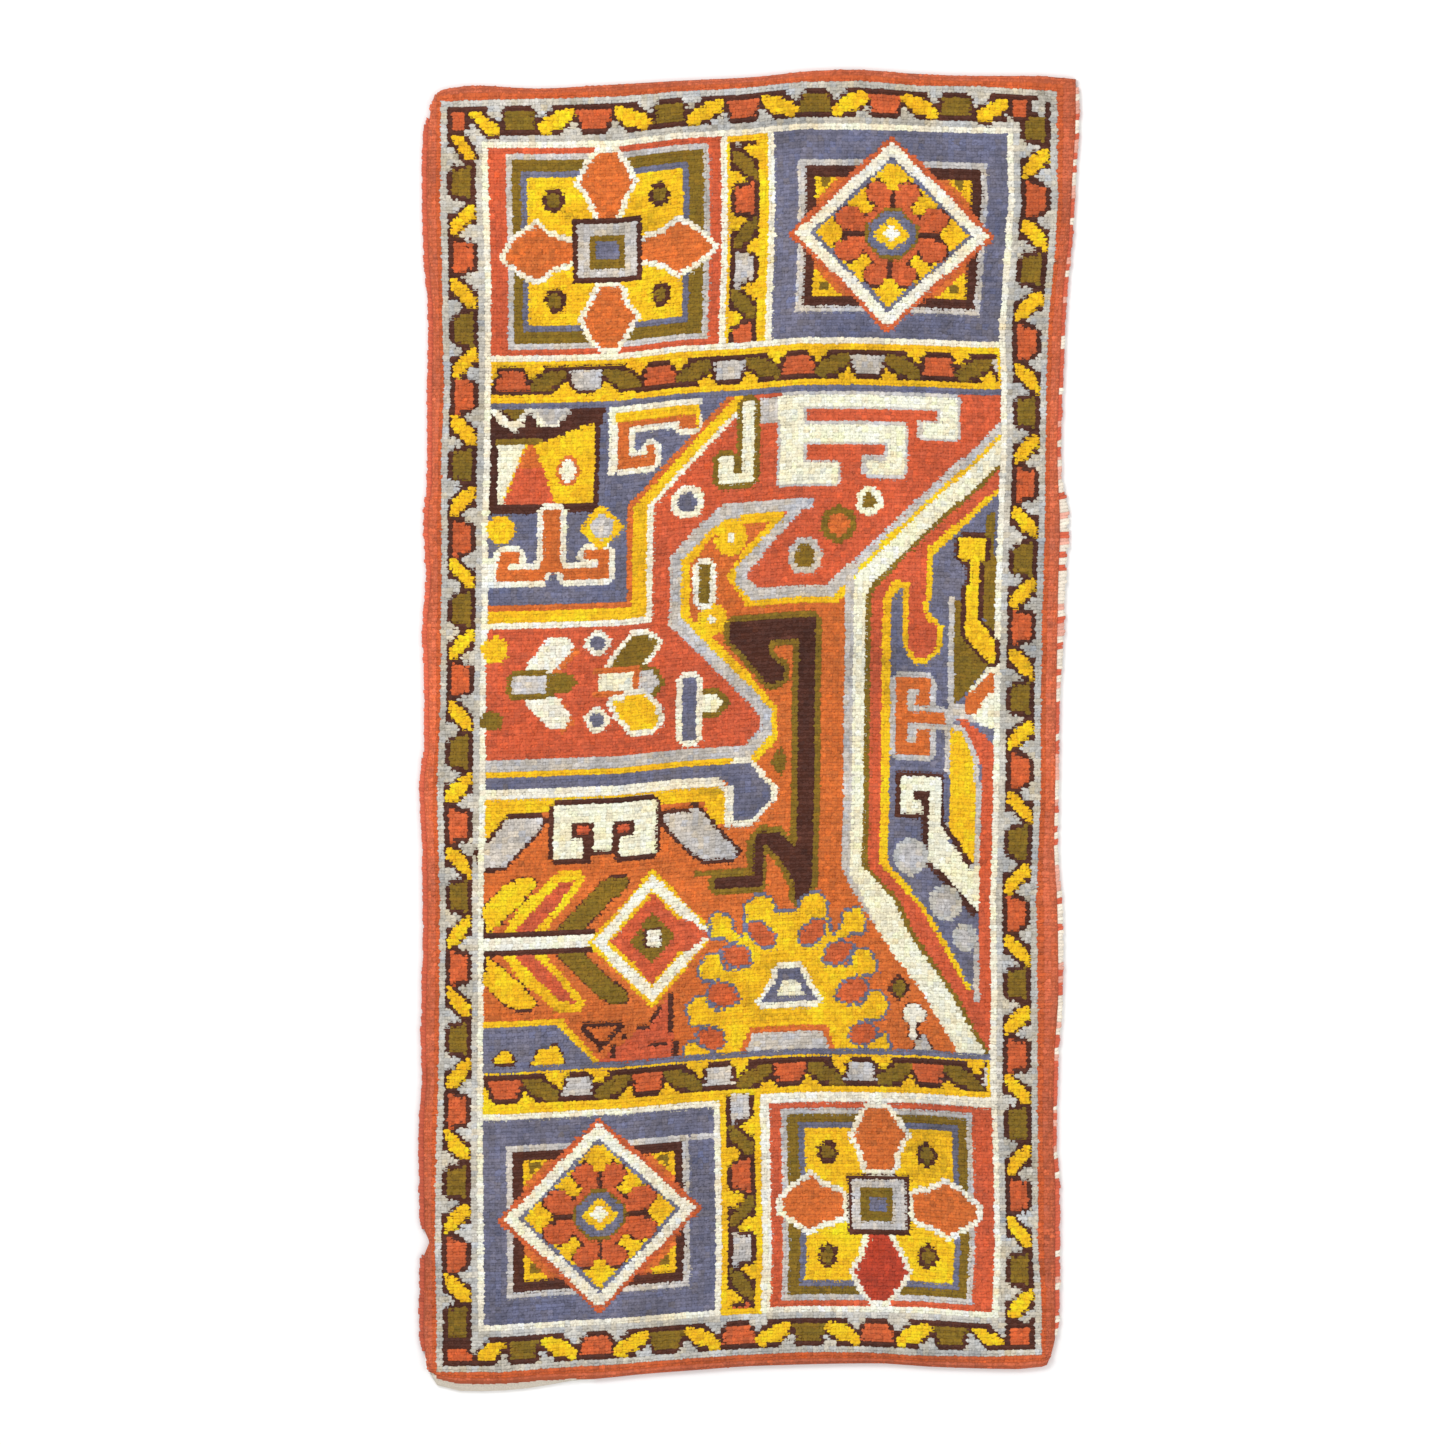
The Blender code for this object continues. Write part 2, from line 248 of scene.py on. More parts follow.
def paint_squares():
    petal_square(
        [(RED, 11, 50.5, 10, 45), (GREY, 14, 48.4, 11, 44), (OLIVE, 15, 47.4, 12, 43),
         (SLATE, 16.6, 45.2, 14, 41), (YELLOW, 17.6, 44, 15, 40)],
        [(ORANGE, ((29.6, 11), (32.6, 11), (34, 13), (35.6, 16), (34, 18.6), (32.6, 22), (29.6, 22),
                   (28.4, 18.6), (26.5, 16), (28, 13))),
         (ORANGE, ((13.4, 27.6), (16, 25), (19, 23), (21, 24.8), (25.2, 26.2), (25.2, 29),
                   (21.4, 30.2), (19, 32.4), (16, 30.6), (13.4, 28.6))),
         (ORANGE, ((49, 28), (46.4, 25.6), (43, 23.8), (40.6, 25.4), (37, 26.4), (37, 29.4),
                   (40.6, 30.6), (43, 32.4), (46, 31), (49, 29))),
         (ORANGE, ((30, 44), (32.8, 44), (34, 42), (36, 39), (34, 36.6), (33, 33.4), (29.8, 33.4),
                   (28.4, 36.6), (27, 39), (28.4, 42)))],
        (31, 27.6), (6, 5.6), [(22, 18.7), (39.9, 18.8), (22.1, 35.7), (40.2, 35.8)])
    petal_square(
        [(RED, 60.4, 98.8, 173.4, 208), (GREY, 62.4, 95.6, 174.6, 207), (OLIVE, 63.4, 94.7, 175.6, 206.2),
         (SLATE, 65.4, 92.8, 177, 204.6), (YELLOW, 66.4, 91.8, 178, 203.5)],
        [(ORANGE, ((77.4, 174.4), (81, 174.4), (82.4, 177), (84, 179), (82.4, 181.6), (81.6, 185),
                   (77, 185), (76.4, 181.6), (75, 179), (76.4, 177))),
         (ORANGE, ((62.4, 189.6), (65, 187.6), (67.6, 186), (70, 188), (73.2, 189), (73.2, 192.8),
                   (70, 193.6), (67, 195), (64.6, 193.4), (62.4, 192))),
         (ORANGE, ((96, 190.4), (93.6, 188.4), (90.6, 186.8), (88, 188.2), (84.8, 189), (84.8, 193),
                   (88, 194), (91, 195.6), (93.6, 194), (96, 192.2))),
         (CRIMSON, ((78, 207), (81, 207), (82.4, 205), (84, 202), (82.4, 199), (80.8, 196),
                    (77.4, 196), (76.4, 199), (75, 202), (76.4, 205)))],
        (78.9, 190.7), (5.6, 5.4), [(70.4, 182), (87.5, 182.2), (70.2, 199.3), (87.4, 199.3)])
    paint(WHITE, block(78, 81, 173, 174.4), block(61.4, 62.4, 189.4, 192.4), block(96, 97, 190, 192.6))
    diamond_square(
        (59.6, 98.8, 10, 45.3),
        [(GREY, 63.4, 95.6, 15, 40.6), (BROWN, 64.4, 94.6, 16, 39.6), (YELLOW, 66.4, 92.6, 18, 38)],
        (79.5, 27.4))
    diamond_square(
        (11, 51.4, 173.4, 208),
        [(GREY, 15, 46.6, 178, 203.6), (BROWN, 16, 45.6, 179, 202.6), (YELLOW, 18, 44, 180.6, 200.6)],
        (31, 190.4))


def paint_vines():
    """The yellow bands and upright dividers between the squares and the field."""
    paint(WHITE, block(50.4, 59.6, 10, 46))
    paint(YELLOW, block(51.4, 58.6, 10, 46))
    meander(down, across - 51, [8.8, 20.8, 32.4, 44.4], True, GREY, MADDER, OLIVE, 11, 47, *UPRIGHT)
    paint(WHITE, block(11, 99, 45, 46.2))
    paint(YELLOW, block(11, 99, 46.2, 53))
    band = down - 45.6 - 0.006 * (across - 11)
    spots = [14.6, 27.4, 40, 52.1, 64, 76, 88.2, 100.4]
    meander(across, band, spots, False, GREY, MADDER, OLIVE, 11, 98.4, *LYING)
    paint(SLATE, block(11, 55, 53, 54), block(55, 99, 53.2, 54.2))
    paint(YELLOW, block(52.2, 58.8, 172, 209))
    paint(SLATE, block(11, 99, 164.4, 165.4))
    paint(YELLOW, block(11, 99, 165.4, 172.4))
    spots = [14.8, 27.3, 39.5, 52, 64.2, 76.5, 88.3, 100.2]
    meander(across, down - 165.2, spots, True, MADDER, GREY, OLIVE, 11, 98.4, *LYING)
    paint(WHITE, block(11, 52, 172.4, 173.4), block(59, 99, 172, 173.4), block(51, 60, 173, 209))
    paint(YELLOW, block(52.2, 58.8, 171.4, 209))
    meander(down, across - 52, [173.6, 185.4, 197.7, 209.8], True, GREY, MADDER, OLIVE, 171.4, 208, *UPRIGHT)
    paint(GREY, block(46.8, 51, 178, 178.9))


def paint_field_grounds():
    """The big areas of the field and the bands that part them."""
    paint(RED, block(11, 99, 54, 165))
    paint(ORANGE, shape((51, 74.5), (62, 74.5), (54.5, 82), (52.5, 84.5), (55.8, 88.5), (72.3, 88.5),
                        (76, 86), (76, 134), (99, 165), (11, 165), (11, 116), (56.5, 116),
                        (61, 111.5), (61, 107.5), (44.5, 92), (44.5, 81)))
    corner = shape((11, 54), (56.6, 54), (39.7, 71), (39.7, 90.8), (11, 90.8))
    paint(WHITE, corner)
    paint(YELLOW, shape((11, 54), (55.8, 54), (38.6, 71.2), (38.6, 90), (11, 90)))
    paint(ORANGE, shape((11, 54), (53.4, 54), (36, 71.4), (36, 88), (11, 88)))
    paint(SLATE, shape((11, 54), (52, 54), (34.8, 71.2), (34.8, 87), (11, 87)))
    # grey and yellow band round the orange middle
    bend = ((43.4, 80.8), (43.4, 91), (52, 99.8), (56.5, 104.4), (59.5, 107.6), (59.5, 111), (56.3, 114.1))
    leg = ((64, 74), (57.6, 80.4), (55, 83.4), (55, 85.2), (57, 87.4), (70.5, 87.4), (75, 83))
    yellow_bend = ((50.8, 75), (45.2, 81.6), (45.2, 91), (54, 99.2), (60.8, 107.4), (60.8, 111.8), (57, 115.8))
    paint(YELLOW, line(1.7, *yellow_bend), block(11, 57.4, 115, 116.4))
    paint(YELLOW, line(1.4, (61, 75.2), (55.4, 80.8), (53.2, 84.2), (56.4, 89), (71.2, 89), (74, 86.4)))
    paint(YELLOW, line(1.4, (50.8, 74.9), (61.4, 74.7)))
    paint(GREY, line(2.1, (66, 72.8), (51.3, 73.3), *bend), line(2.1, *leg), block(11, 57, 113.2, 115))
    # wide bands that come down from the right and turn twice
    paint(GREY, right_of((99, 58.2), (80, 76.6), (75, 82), (73, 86), (73, 134), (74.4, 137), (79.6, 145)))
    inner_edge = ((74.3, 87), (74.3, 134.5), (77, 139.5), (79.6, 145), (83.3, 150), (87.3, 155), (90.3, 160),
                  (93.6, 165))
    paint(YELLOW, right_of((99, 60.3), (80, 78.4), (75, 83.7), *inner_edge))
    paint(CREAM, right_of((99, 61.4), (85, 74.7), (80, 79.6), (75, 85), *inner_edge))
    paint(OLIVE, right_of((99, 65.3), (85, 78.7), (80, 83.5), (77.5, 86.3), (76.7, 88), (76.7, 134),
                          (82.6, 140), (84.8, 145), (88.3, 150), (92.2, 155), (95.2, 160), (98.5, 165)))
    paint(RED, right_of((99, 66.4), (85, 79.6), (80.8, 84.4), (78.3, 86.9), (77.7, 88), (77.7, 133.7),
                        (83.6, 140), (85.8, 145), (89.3, 150), (93.2, 155), (96, 160), (99, 164.5)))
    paint(YELLOW, right_of((99, 69.2), (89.5, 77.8), (80.6, 86.8), (79.7, 88.5), (79.7, 133.2), (86.4, 140),
                           (89.5, 145), (92.4, 150), (95, 154.2)))
    paint(SLATE, right_of((99, 70.4), (94, 75), (90.5, 78.6), (80.8, 89), (80.8, 133), (87.4, 140),
                          (90.6, 145), (93.4, 150), (95.8, 154.2)))


def paint_upper_left():
    """A house-like box and hooks on slate."""
    edged(ORANGE, WHITE, block(33, 46.4, 56.4, 57.6), block(43.4, 46.4, 56.4, 59.2), block(32.8, 35, 56.4, 64.6),
          block(32.8, 39.6, 62.4, 64.6), block(38, 39.6, 61, 64.6))
    paint(YELLOW, block(32.6, 47, 55, 56.5), block(46.4, 47.2, 55, 59))
    paint(WHITE, block(31.6, 47.6, 54.2, 55), block(31.6, 32.6, 55, 65.4))
    paint(BROWN, shape((11, 54), (31, 53.4), (30.4, 57), (20, 60), (11, 60)))
    paint(WHITE, line(1.1, (11.6, 53.8), (13.2, 56), (15, 57), (17.6, 54)),
          line(1.2, (18.8, 54.4), (20, 56.6), (22.4, 56.4)))
    paint(OLIVE, shape((13, 53.8), (17.2, 53.8), (15.4, 56)))
    paint(GREY, shape((19, 54), (25, 53.8), (23, 56.2), (20.4, 56.4)))
    paint(BROWN, shape((11, 59), (19, 59.4), (30.2, 55.4), (30.2, 71.3), (11, 71.3)))
    paint(OLIVE, block(12, 20, 58.8, 59.8))
    paint(YELLOW, shape((12.4, 60), (19, 60), (29, 56.4), (29, 70), (12.4, 70)))
    paint(CREAM, shape((12.4, 60), (17, 60), (13.2, 70), (12.4, 70)))
    paint(ORANGE, shape((17.4, 60), (18.6, 60), (20.2, 64), (15.8, 64)))
    paint(RED, shape((15.8, 64), (20.2, 64), (22.4, 70), (13.4, 70)))
    paint(ORANGE, round_patch(24.5, 64.5, 1.9, 2.7))
    paint(WHITE, round_patch(24.5, 64.5, 1.3, 2.1))
    # horned stem
    horns = [block(20.4, 23.4, 71, 81), block(12.4, 21, 80.8, 82.8), block(12.4, 14.4, 79.4, 83),
             block(12.8, 16.6, 78, 79.8), block(24, 31.8, 81, 83), block(30.2, 32, 79, 83),
             block(27.6, 32, 78, 79.6), shape((19.6, 81.4), (20.4, 79), (23.4, 79), (24.6, 81.6))]
    edged(ORANGE, WHITE, *horns)
    paint(SLATE, shape((20.8, 84), (22.2, 81.4), (24, 84)))
    paint(WHITE, block(11, 12.4, 79, 84))
    paint(YELLOW, round_patch(13.2, 74.2, 2.5, 2.4))
    paint(YELLOW, (abs(across - 30.7) + abs(down - 74.2) < 4) & block(27, 34.4, 70, 78))
    paint(GREY, round_patch(30.7, 74.2, 2, 2.1))


def paint_upper_middle():
    """Hooks and combs on red, and dots."""
    edged(CREAM, OLIVE, block(54.4, 56.4, 55, 68.4), block(50.6, 56.4, 66.8, 68.4), block(50.6, 52.8, 64.2, 68.4))
    paint(OLIVE, block(53, 54.2, 65, 66.4))
    paint(GREY, block(57.6, 61, 54.4, 59))
    edged(CREAM, GREY, block(61, 65, 54.4, 68.6), block(61, 91.4, 54.4, 56.6), block(61, 82.4, 59.6, 62.6),
          block(61, 71, 66, 69.6), block(79.6, 82.4, 59.6, 68.2), block(76, 82.4, 65.2, 68.2),
          block(88.4, 91.4, 54.4, 61.6), block(85, 91.4, 58.9, 61.6), halves=1)
    paint(GREY, block(74.8, 79.4, 64.6, 65.4), block(75.2, 76.2, 65, 68), block(84.4, 85.4, 58.6, 61.6))
    paint(CREAM, block(60.6, 62, 54.4, 58.6))
    for column, row, half, dye, outline in (
            (45.3, 71.3, 1.7, SLATE, WHITE), (76.6, 72.4, 1.2, OLIVE, CREAM), (71.5, 76.3, 1.9, ORANGE, OLIVE),
            (65.8, 81.6, 1.9, OLIVE, GREY), (53, 77.9, 1.7, YELLOW, YELLOW), (49.9, 91.4, 1.5, YELLOW, YELLOW)):
        paint(outline, round_patch(column, row, half + 1.1, half + 1.2))
        paint(dye, round_patch(column, row, half, half + 0.1))
    paint(CREAM, round_patch(53, 77.9, 0.7), round_patch(49.9, 91.4, 0.7))
    edged(OLIVE, WHITE, block(47.6, 49.4, 82.2, 88.4))


def paint_sprays():
    """Blossoms, dots and a bar on red, at the left."""
    paint(YELLOW, round_patch(12.4, 94.4, 2.3, 2.2))
    paint(OLIVE, round_patch(12, 106.3, 2.2, 1.6))
    paint(ORANGE, shape((25, 92.6), (27, 95), (24.6, 98), (22, 99)), shape((24, 103), (26.6, 107), (24, 109)))
    paint(WHITE, shape((21.5, 92.5), (25, 92.5), (26, 94), (25.5, 95), (24, 97), (22.5, 98.4), (17.5, 98.4),
                       (18.4, 96.4), (20, 94.6)),
          shape((17.4, 102.6), (23.5, 102.6), (24.2, 104), (25.6, 105), (25.4, 106.8), (24.6, 108),
                (22, 108), (20.4, 106), (18.6, 104.6)))
    edged(GREY, OLIVE, block(15.6, 21.6, 99, 102))
    paint(OLIVE, shape((21.6, 98.4), (25, 98.6), (27, 100.2), (25.4, 102), (21.6, 102.4)))
    for row in (93.8, 106.6):
        edged(SLATE, WHITE, round_patch(30.3, row, 1.2, 1.3))
    edged(OLIVE, WHITE, shape((36, 93), (38.4, 93), (40.4, 94), (40.2, 95.4), (38, 98), (32.4, 98), (34.4, 95)))
    paint(ORANGE, block(29.6, 37.4, 98, 99), block(29.6, 37.4, 102, 103), block(36.4, 37.4, 98, 103))
    paint(CREAM, block(30.3, 36.4, 99, 102))
    paint(OLIVE, shape((37.4, 98), (40, 98.4), (42.4, 101), (40.4, 103.6), (37.4, 103.4)))
    paint(GREY, shape((37.4, 99), (39.6, 99), (41.2, 101), (39.6, 103), (37.4, 103)))
    edged(YELLOW, WHITE, shape((32.6, 103.4), (38.5, 103), (40.4, 105), (41, 107.5), (39.6, 109.2),
                               (36.4, 109), (34.4, 106.6)))
    edged(SLATE, WHITE, block(45, 47.6, 101, 111.6))
    paint(OLIVE, shape((48.6, 103.2), (51.6, 103.2), (53.4, 105.6), (51.4, 108), (48.6, 108)))
    paint(CREAM, shape((48.6, 104.2), (51, 104.2), (52.4, 105.4), (51, 107), (48.6, 107)))


def paint_hooked_bar():
    """The tall brown bar outlined olive, and a blob beside it."""
    bar = [block(64.8, 68, 92, 137), block(53, 68, 92, 95.4),
           shape((64.4, 137), (68, 137), (66.6, 140.2), (65.6, 140.2)),
           shape((53, 95), (60, 95), (60, 97.8), (62.4, 99.8), (62.6, 102.2), (61, 103), (59.2, 102.4), (56, 98.4)),
           block(57.6, 59.6, 129, 137), shape((57.6, 128.4), (59, 127.6), (62.6, 128.2), (64.8, 130.4), (64.8, 137),
                                              (62.6, 133), (60.4, 130.6)),
           block(51, 59.6, 134.8, 137)]
    edged(BROWN, OLIVE, *bar)
    paint(ORANGE, shape((60.2, 131.6), (62.2, 134), (64.2, 138), (60.8, 139), (60.2, 136)))
    paint(OLIVE, block(47.6, 57, 133.6, 134.6), shape((62.2, 113.6), (63.2, 116.4), (62.2, 118.4), (60.2, 116)))


def paint_lower_left():
    """Bands, comb and slanting leaves above the second yellow band."""
    paint(YELLOW, block(11, 57, 115.2, 116.2))
    paint(SLATE, block(11, 56, 116.2, 118.4))
    edged(SLATE, WHITE, shape((53.8, 116.2), (57, 116.2), (60.6, 120.6), (60.6, 122.2), (57.2, 125.6), (53.8, 125.6)))
    paint(SLATE, shape((44, 116.2), (55.4, 116.2), (55.4, 122), (54, 119.8), (51.8, 118.4), (44, 118.4)))
    paint(YELLOW, shape((11, 119.2), (51.4, 119.2), (52.6, 120.4), (52.6, 126.2), (50, 126.2), (49, 122), (41, 122),
                        (41, 120.4), (22, 120.4), (22, 121.8), (15, 121.8), (14.4, 124), (11.6, 127), (11, 127)))
    paint(WHITE, line(1.1, (11, 118.8), (51.4, 118.8), (53.2, 120.4), (53.2, 126)))
    edged(GREY, BROWN, shape((14.6, 123), (21.4, 122.8), (20, 125), (15.6, 129.6), (14.6, 130.6), (11, 131),
                             (10, 128.4), (13, 125.6)))
    edged(GREY, BROWN, shape((41.6, 123.4), (48.2, 123.2), (49.6, 125), (52, 128), (55, 130.8), (54.4, 131.4),
                             (48.6, 131.4), (46, 129.4), (43, 126)))
    edged(CREAM, BROWN, block(22.9, 40.3, 120.9, 130))
    paint(BROWN, block(26, 30, 123.8, 126.6), block(28.2, 30, 124, 131), block(33, 37, 123.8, 126.6),
          block(33, 34.6, 124, 131), block(28.2, 34.6, 128.4, 129.5))
    paint(RED, block(26.9, 29, 124.7, 125.7), block(34, 36.1, 124.7, 125.7))
    paint(ORANGE, block(29.4, 33.6, 129.5, 132))
    paint(WHITE, block(10, 11, 120, 146))
    # leaves above the stem, then their mirror images below it
    stem = 144
    paint(BROWN, block(11, 30.6, 142, 146))
    for side in (1, -1):
        def leaf(*points):
            """A polygon drawn above the stem, on this side of it."""
            return shape(*[(c, stem + side * (r - stem)) for c, r in points])

        edged(YELLOW, BROWN, leaf((11, 138), (14, 134.6), (16.4, 133.2), (19.6, 133), (20, 134), (17.6, 137),
                                  (14.6, 139.6), (11.6, 142)), halves=1)
        paint(YELLOW, leaf((14.4, 142), (17, 138.4), (22, 133.6), (24, 132.2), (27.6, 132), (28.8, 133.4),
                           (26, 137), (21.6, 142)))
        paint(RED, leaf((16.4, 142), (20, 138), (24.2, 134), (27, 133.6), (24.2, 137.4), (20, 142)))
        edged(OLIVE, BROWN, leaf((23.8, 142), (28, 137.6), (31.6, 134.2), (33.4, 133.4), (36, 133.6), (35.6, 135),
                                 (32, 138.4), (28.4, 142)), halves=1)
    paint(WHITE, block(11, 31, 143, 145))
    # stepped diamond at the end of the stem, open at its right tip
    far = abs(across - 40.3) * 1.05 + abs(down - 144.3)
    for reach, dye in ((11.7, YELLOW), (10.9, WHITE), (8.4, YELLOW), (7.6, RED), (4.2, OLIVE)):
        paint(dye, (far <= reach) & (across < 50))
    paint(BROWN, block(38.3, 42.2, 142.3, 146.2))
    paint(WHITE, block(39.3, 41.3, 143.2, 145.3))
    paint(RED, shape((44, 141.4), (46.6, 141.8), (50.4, 144.4), (46.6, 147), (44, 147.2)))
    # slate corner with two yellow bumps
    paint(YELLOW, shape((11, 157.2), (24.8, 157.2), (31.8, 165), (11, 165)))
    paint(SLATE, shape((11, 158.2), (24.2, 158.2), (30.6, 165), (11, 165)))
    edged(YELLOW, BROWN, shape((12.8, 164), (13.4, 162.4), (15.2, 161.8), (16.6, 164)), halves=1)
    edged(YELLOW, BROWN, shape((19.6, 164.4), (20.6, 162.2), (23.8, 161.4), (25.2, 164.4)), halves=1)
    # red shape with brown marks
    paint(RED, shape((31, 164.4), (36, 161), (38, 159.2), (41.2, 157), (44, 153), (44.2, 164.4)))
    paint(BROWN, block(28, 35, 157.6, 158.7), line(0.9, (28.6, 159), (31.6, 162)), line(0.9, (35, 158.6), (31, 162.4)),
          block(43.2, 44.2, 153.4, 160.6), block(39.4, 43.2, 161.6, 162.5), line(1, (41.6, 156), (39.4, 159)),
          block(37.4, 39.6, 158.6, 159.5), block(35, 36, 160, 161), block(33, 34, 161.4, 164),
          block(43.4, 44.8, 161.4, 164.4))


def paint_palmette():
    """A yellow palmette with hooked arms, the same on both sides of its middle."""
    middle = 63.7

    def both(*points):
        """A polygon drawn for one side, on both sides."""
        left = shape(*[(middle - c, r) for c, r in points])
        return left | shape(*[(middle + c, r) for c, r in points])

    body = both((0, 141.6), (2, 141.4), (2.8, 139), (5, 138.4), (7, 139.6), (7, 142), (7.4, 144.6), (8.8, 148.4),
                (10, 151.6), (11.4, 155.4), (12.8, 160.4), (13.6, 165), (0, 165))
    arms = [both((6.5, 147), (9.4, 144), (10, 141.6), (12.4, 141), (13.6, 142.6), (13, 145), (11, 145), (8.6, 147.6)),
            both((8.5, 152.4), (11.2, 150.2), (12, 148), (14, 147.8), (15.4, 150), (14.8, 152.2), (13, 152.2),
                 (10, 154)),
            both((10.5, 158.4), (13.4, 157), (14.4, 154.8), (16.2, 154.8), (17.4, 157), (16.4, 159.4), (14.4, 159.4),
                 (12, 160.6)),
            both((13.2, 165), (15.4, 162.6), (17.2, 162.2), (18, 165))]
    edged(YELLOW, SLATE, body, *arms, halves=1)
    dabs = [both((2.2, 147), (2.4, 144.8), (4.6, 142.8), (6.6, 143.2), (6.4, 145), (4.2, 147.2)),
            both((6.4, 149.8), (7, 147.4), (9, 146.6), (11.2, 147.2), (10.8, 149), (8.6, 150.4)),
            both((8.4, 155.8), (9.4, 153.6), (12, 152.6), (14, 153.8), (13.4, 155.6), (11, 157)),
            both((10.8, 163), (11.4, 161), (13.6, 160.1), (15.6, 161), (15, 163), (12.6, 163.9))]
    for dab in dabs:
        edged(MADDER, SLATE, dab, halves=1)
    edged(SLATE, WHITE, shape((62.2, 151), (66, 151), (66.4, 152.6), (69, 156.6), (59, 156.6), (61.8, 152.6)))
    paint(CREAM, shape((63, 152.8), (65.4, 152.8), (66.4, 155.4), (62, 155.4)))
    paint(ORANGE, shape((57, 160.6), (70.6, 160.4), (72, 165), (55.4, 165)))
    paint(GREY, shape((57.8, 161.5), (69.8, 161.3), (71, 165), (56.4, 165)))
    edged(OLIVE, BROWN, round_patch(83, 154.3, 0.9, 1.2))
    edged(WHITE, BROWN, round_patch(85.6, 158.6, 1.8, 1.7), block(84.8, 86, 160, 162.4), halves=1)
    edged(GREY, BROWN, shape((87.2, 162), (88.8, 164), (88.4, 165), (86, 165), (86.2, 163)), halves=1)


def paint_right():
    """Branch, vine, hooks, leaf and spiral on slate, at the right."""
    branch = shape((84, 84.4), (87, 79.4), (87, 88.6), (86.2, 89.6), (87, 91.6), (89, 93.4), (89, 96.4),
                   (87.3, 98.6), (85.5, 98.6), (83.8, 96.3))
    paint(YELLOW, grown(branch) & (down > 84), grown(branch) & (across > 86.8))
    paint(RED, branch, shape((85, 79.6), (87, 79), (87, 84), (84, 86), (81.6, 85.6)))
    paint(OLIVE, shape((97.3, 73.5), (98.6, 73.5), (99, 94), (97.4, 94), (96.6, 80)))
    paint(OLIVE, shape((92, 88.5), (93.4, 88.5), (93.4, 94.5), (97.8, 99.5), (94.2, 104), (92, 106)))
    paint(GREY, block(91, 92, 88, 107))
    edged(YELLOW, BROWN, block(92.4, 96.8, 78, 81.4),
          shape((94.4, 81), (96.2, 81), (96, 91.8), (98, 94), (99, 95), (99, 99.4), (97.4, 98.4), (94, 94.4)))
    hook = [block(82, 88, 102, 104), block(82, 84, 102, 115), block(86, 88, 102, 106.4), block(85.4, 88, 105, 106.4),
            block(82, 90.6, 107.6, 109.4), block(85.4, 88, 110.6, 115), block(82, 88, 113, 115)]
    edged(ORANGE, GREY, *hook)
    paint(GREY, block(84, 85.4, 104, 107), block(84, 85.4, 110, 113), block(91, 96, 106, 109))
    paint(CREAM, shape((94, 104.6), (98, 99.4), (99, 99.4), (99, 110), (97, 109.6), (94, 107)))
    paint(ORANGE, shape((98, 100.6), (99, 100.6), (99, 103.8), (97, 105), (95.8, 107.4), (94, 107.4), (94, 105)))
    paint(RED, shape((92.3, 108.4), (94.5, 108.7), (98.8, 112.5), (98.8, 157), (96.8, 157), (96.8, 116), (94.5, 111)))
    edged(YELLOW, GREY, shape((91.4, 110), (93.4, 110.7), (95.4, 115), (96, 122), (95.8, 129), (95.8, 133),
                              (94, 131.8), (93, 129.5), (91.5, 127), (91.4, 115)))
    # spiral that runs on as a slanting band
    paint(BROWN, block(82, 91, 117.4, 125.6), block(86.6, 91, 121, 133))
    paint(CREAM, block(83, 90, 118.4, 124.6), block(87.8, 90, 118.4, 133))
    paint(BROWN, block(84.8, 87.8, 121.2, 122.3), block(86.7, 87.8, 121.2, 133))
    paint(CREAM, shape((87.8, 124), (90, 124), (90, 126.8), (92, 129.8), (94, 131.8), (95.4, 133.4), (96.8, 133),
                       (96.8, 141), (94.7, 138.7), (92, 136), (89.5, 133.7), (87.8, 132.8)))
    paint(BROWN, line(1.3, (87.4, 132.6), (92, 136.6), (96.2, 140.8)), line(1.1, (90.6, 126.5), (95.3, 132.8)))
    paint(SLATE, block(90.4, 91.4, 118, 126))
    for column, row, half in ((85, 132.2, 2.9), (91.2, 139.6, 2.8), (94.6, 145.2, 2.2)):
        paint(GUARD, round_patch(column, row, half, half + 0.2))
        paint(GREY, round_patch(column, row, half - 1, half - 0.8))
    paint(GREY, block(96, 96.8, 146, 156))


paint_border()
paint_field_grounds()
paint_upper_left()
paint_upper_middle()
paint_sprays()
paint_lower_left()
paint_hooked_bar()
paint_palmette()
paint_right()
paint_squares()
paint_vines()

# Lay of the cloth

MM = 0.001
PIXEL = 0.95 * MM
GROUND = 2.5 * MM
PILE_TOP = 8.0 * MM

# Where lines of the design lie, read off the photo in its pixels
SIDE_ROWS = (150, 200, 260, 330, 380, 450, 540, 600, 700, 800, 900, 1000, 1080, 1150, 1250, 1300)
SIDE_LINES = {
    3: (441, 440.5, 442, 442.5, 444.5, 441.5, 441.5, 441.5, 440.5, 437, 440, 439.5, 438.5, 436, 435, 436.5),
    11: (488, 488.5, 491, 491, 491, 490, 488, 488, 485.5, 485.5, 483.5, 483.5, 483, 483, 484, 484),
    99: (1007, 1008, 1004, 999, 1001, 1001, 997, 995, 994, 993, 990, 991, 990, 993, 995, 992),
    107: (1057, 1058, 1054, 1048, 1046.5, 1045.5, 1044.5, 1042.5, 1040.5, 1040.5, 1036, 1037.5, 1037.5,
          1037.5, 1038, 1041.5),
}
END_COLUMNS = (440, 500, 560, 620, 680, 740, 800, 860, 920, 980, 1060)
END_LINES = {
    2: (102, 100, 99, 97, 92, 89, 82.5, 81.5, 86.5, 87, 92),
    10: (148, 148.5, 148.5, 147, 139, 136, 130, 130, 132, 134, 134),
    208: (1326, 1325, 1321, 1318, 1313, 1308.5, 1306, 1306, 1307, 1312, 1312),
    216: (1372, 1372, 1367.5, 1364, 1359, 1355, 1352, 1352, 1355.5, 1356.5, 1354),
}
# Depth of ground left bare beyond the pile at the lower end, by place across, in millimetres
BARE_STRIP = ((-306, 5), (-292, 6.5), (-252, 7), (-200, 6), (-178, 3), (-142, 0), (320, 0))


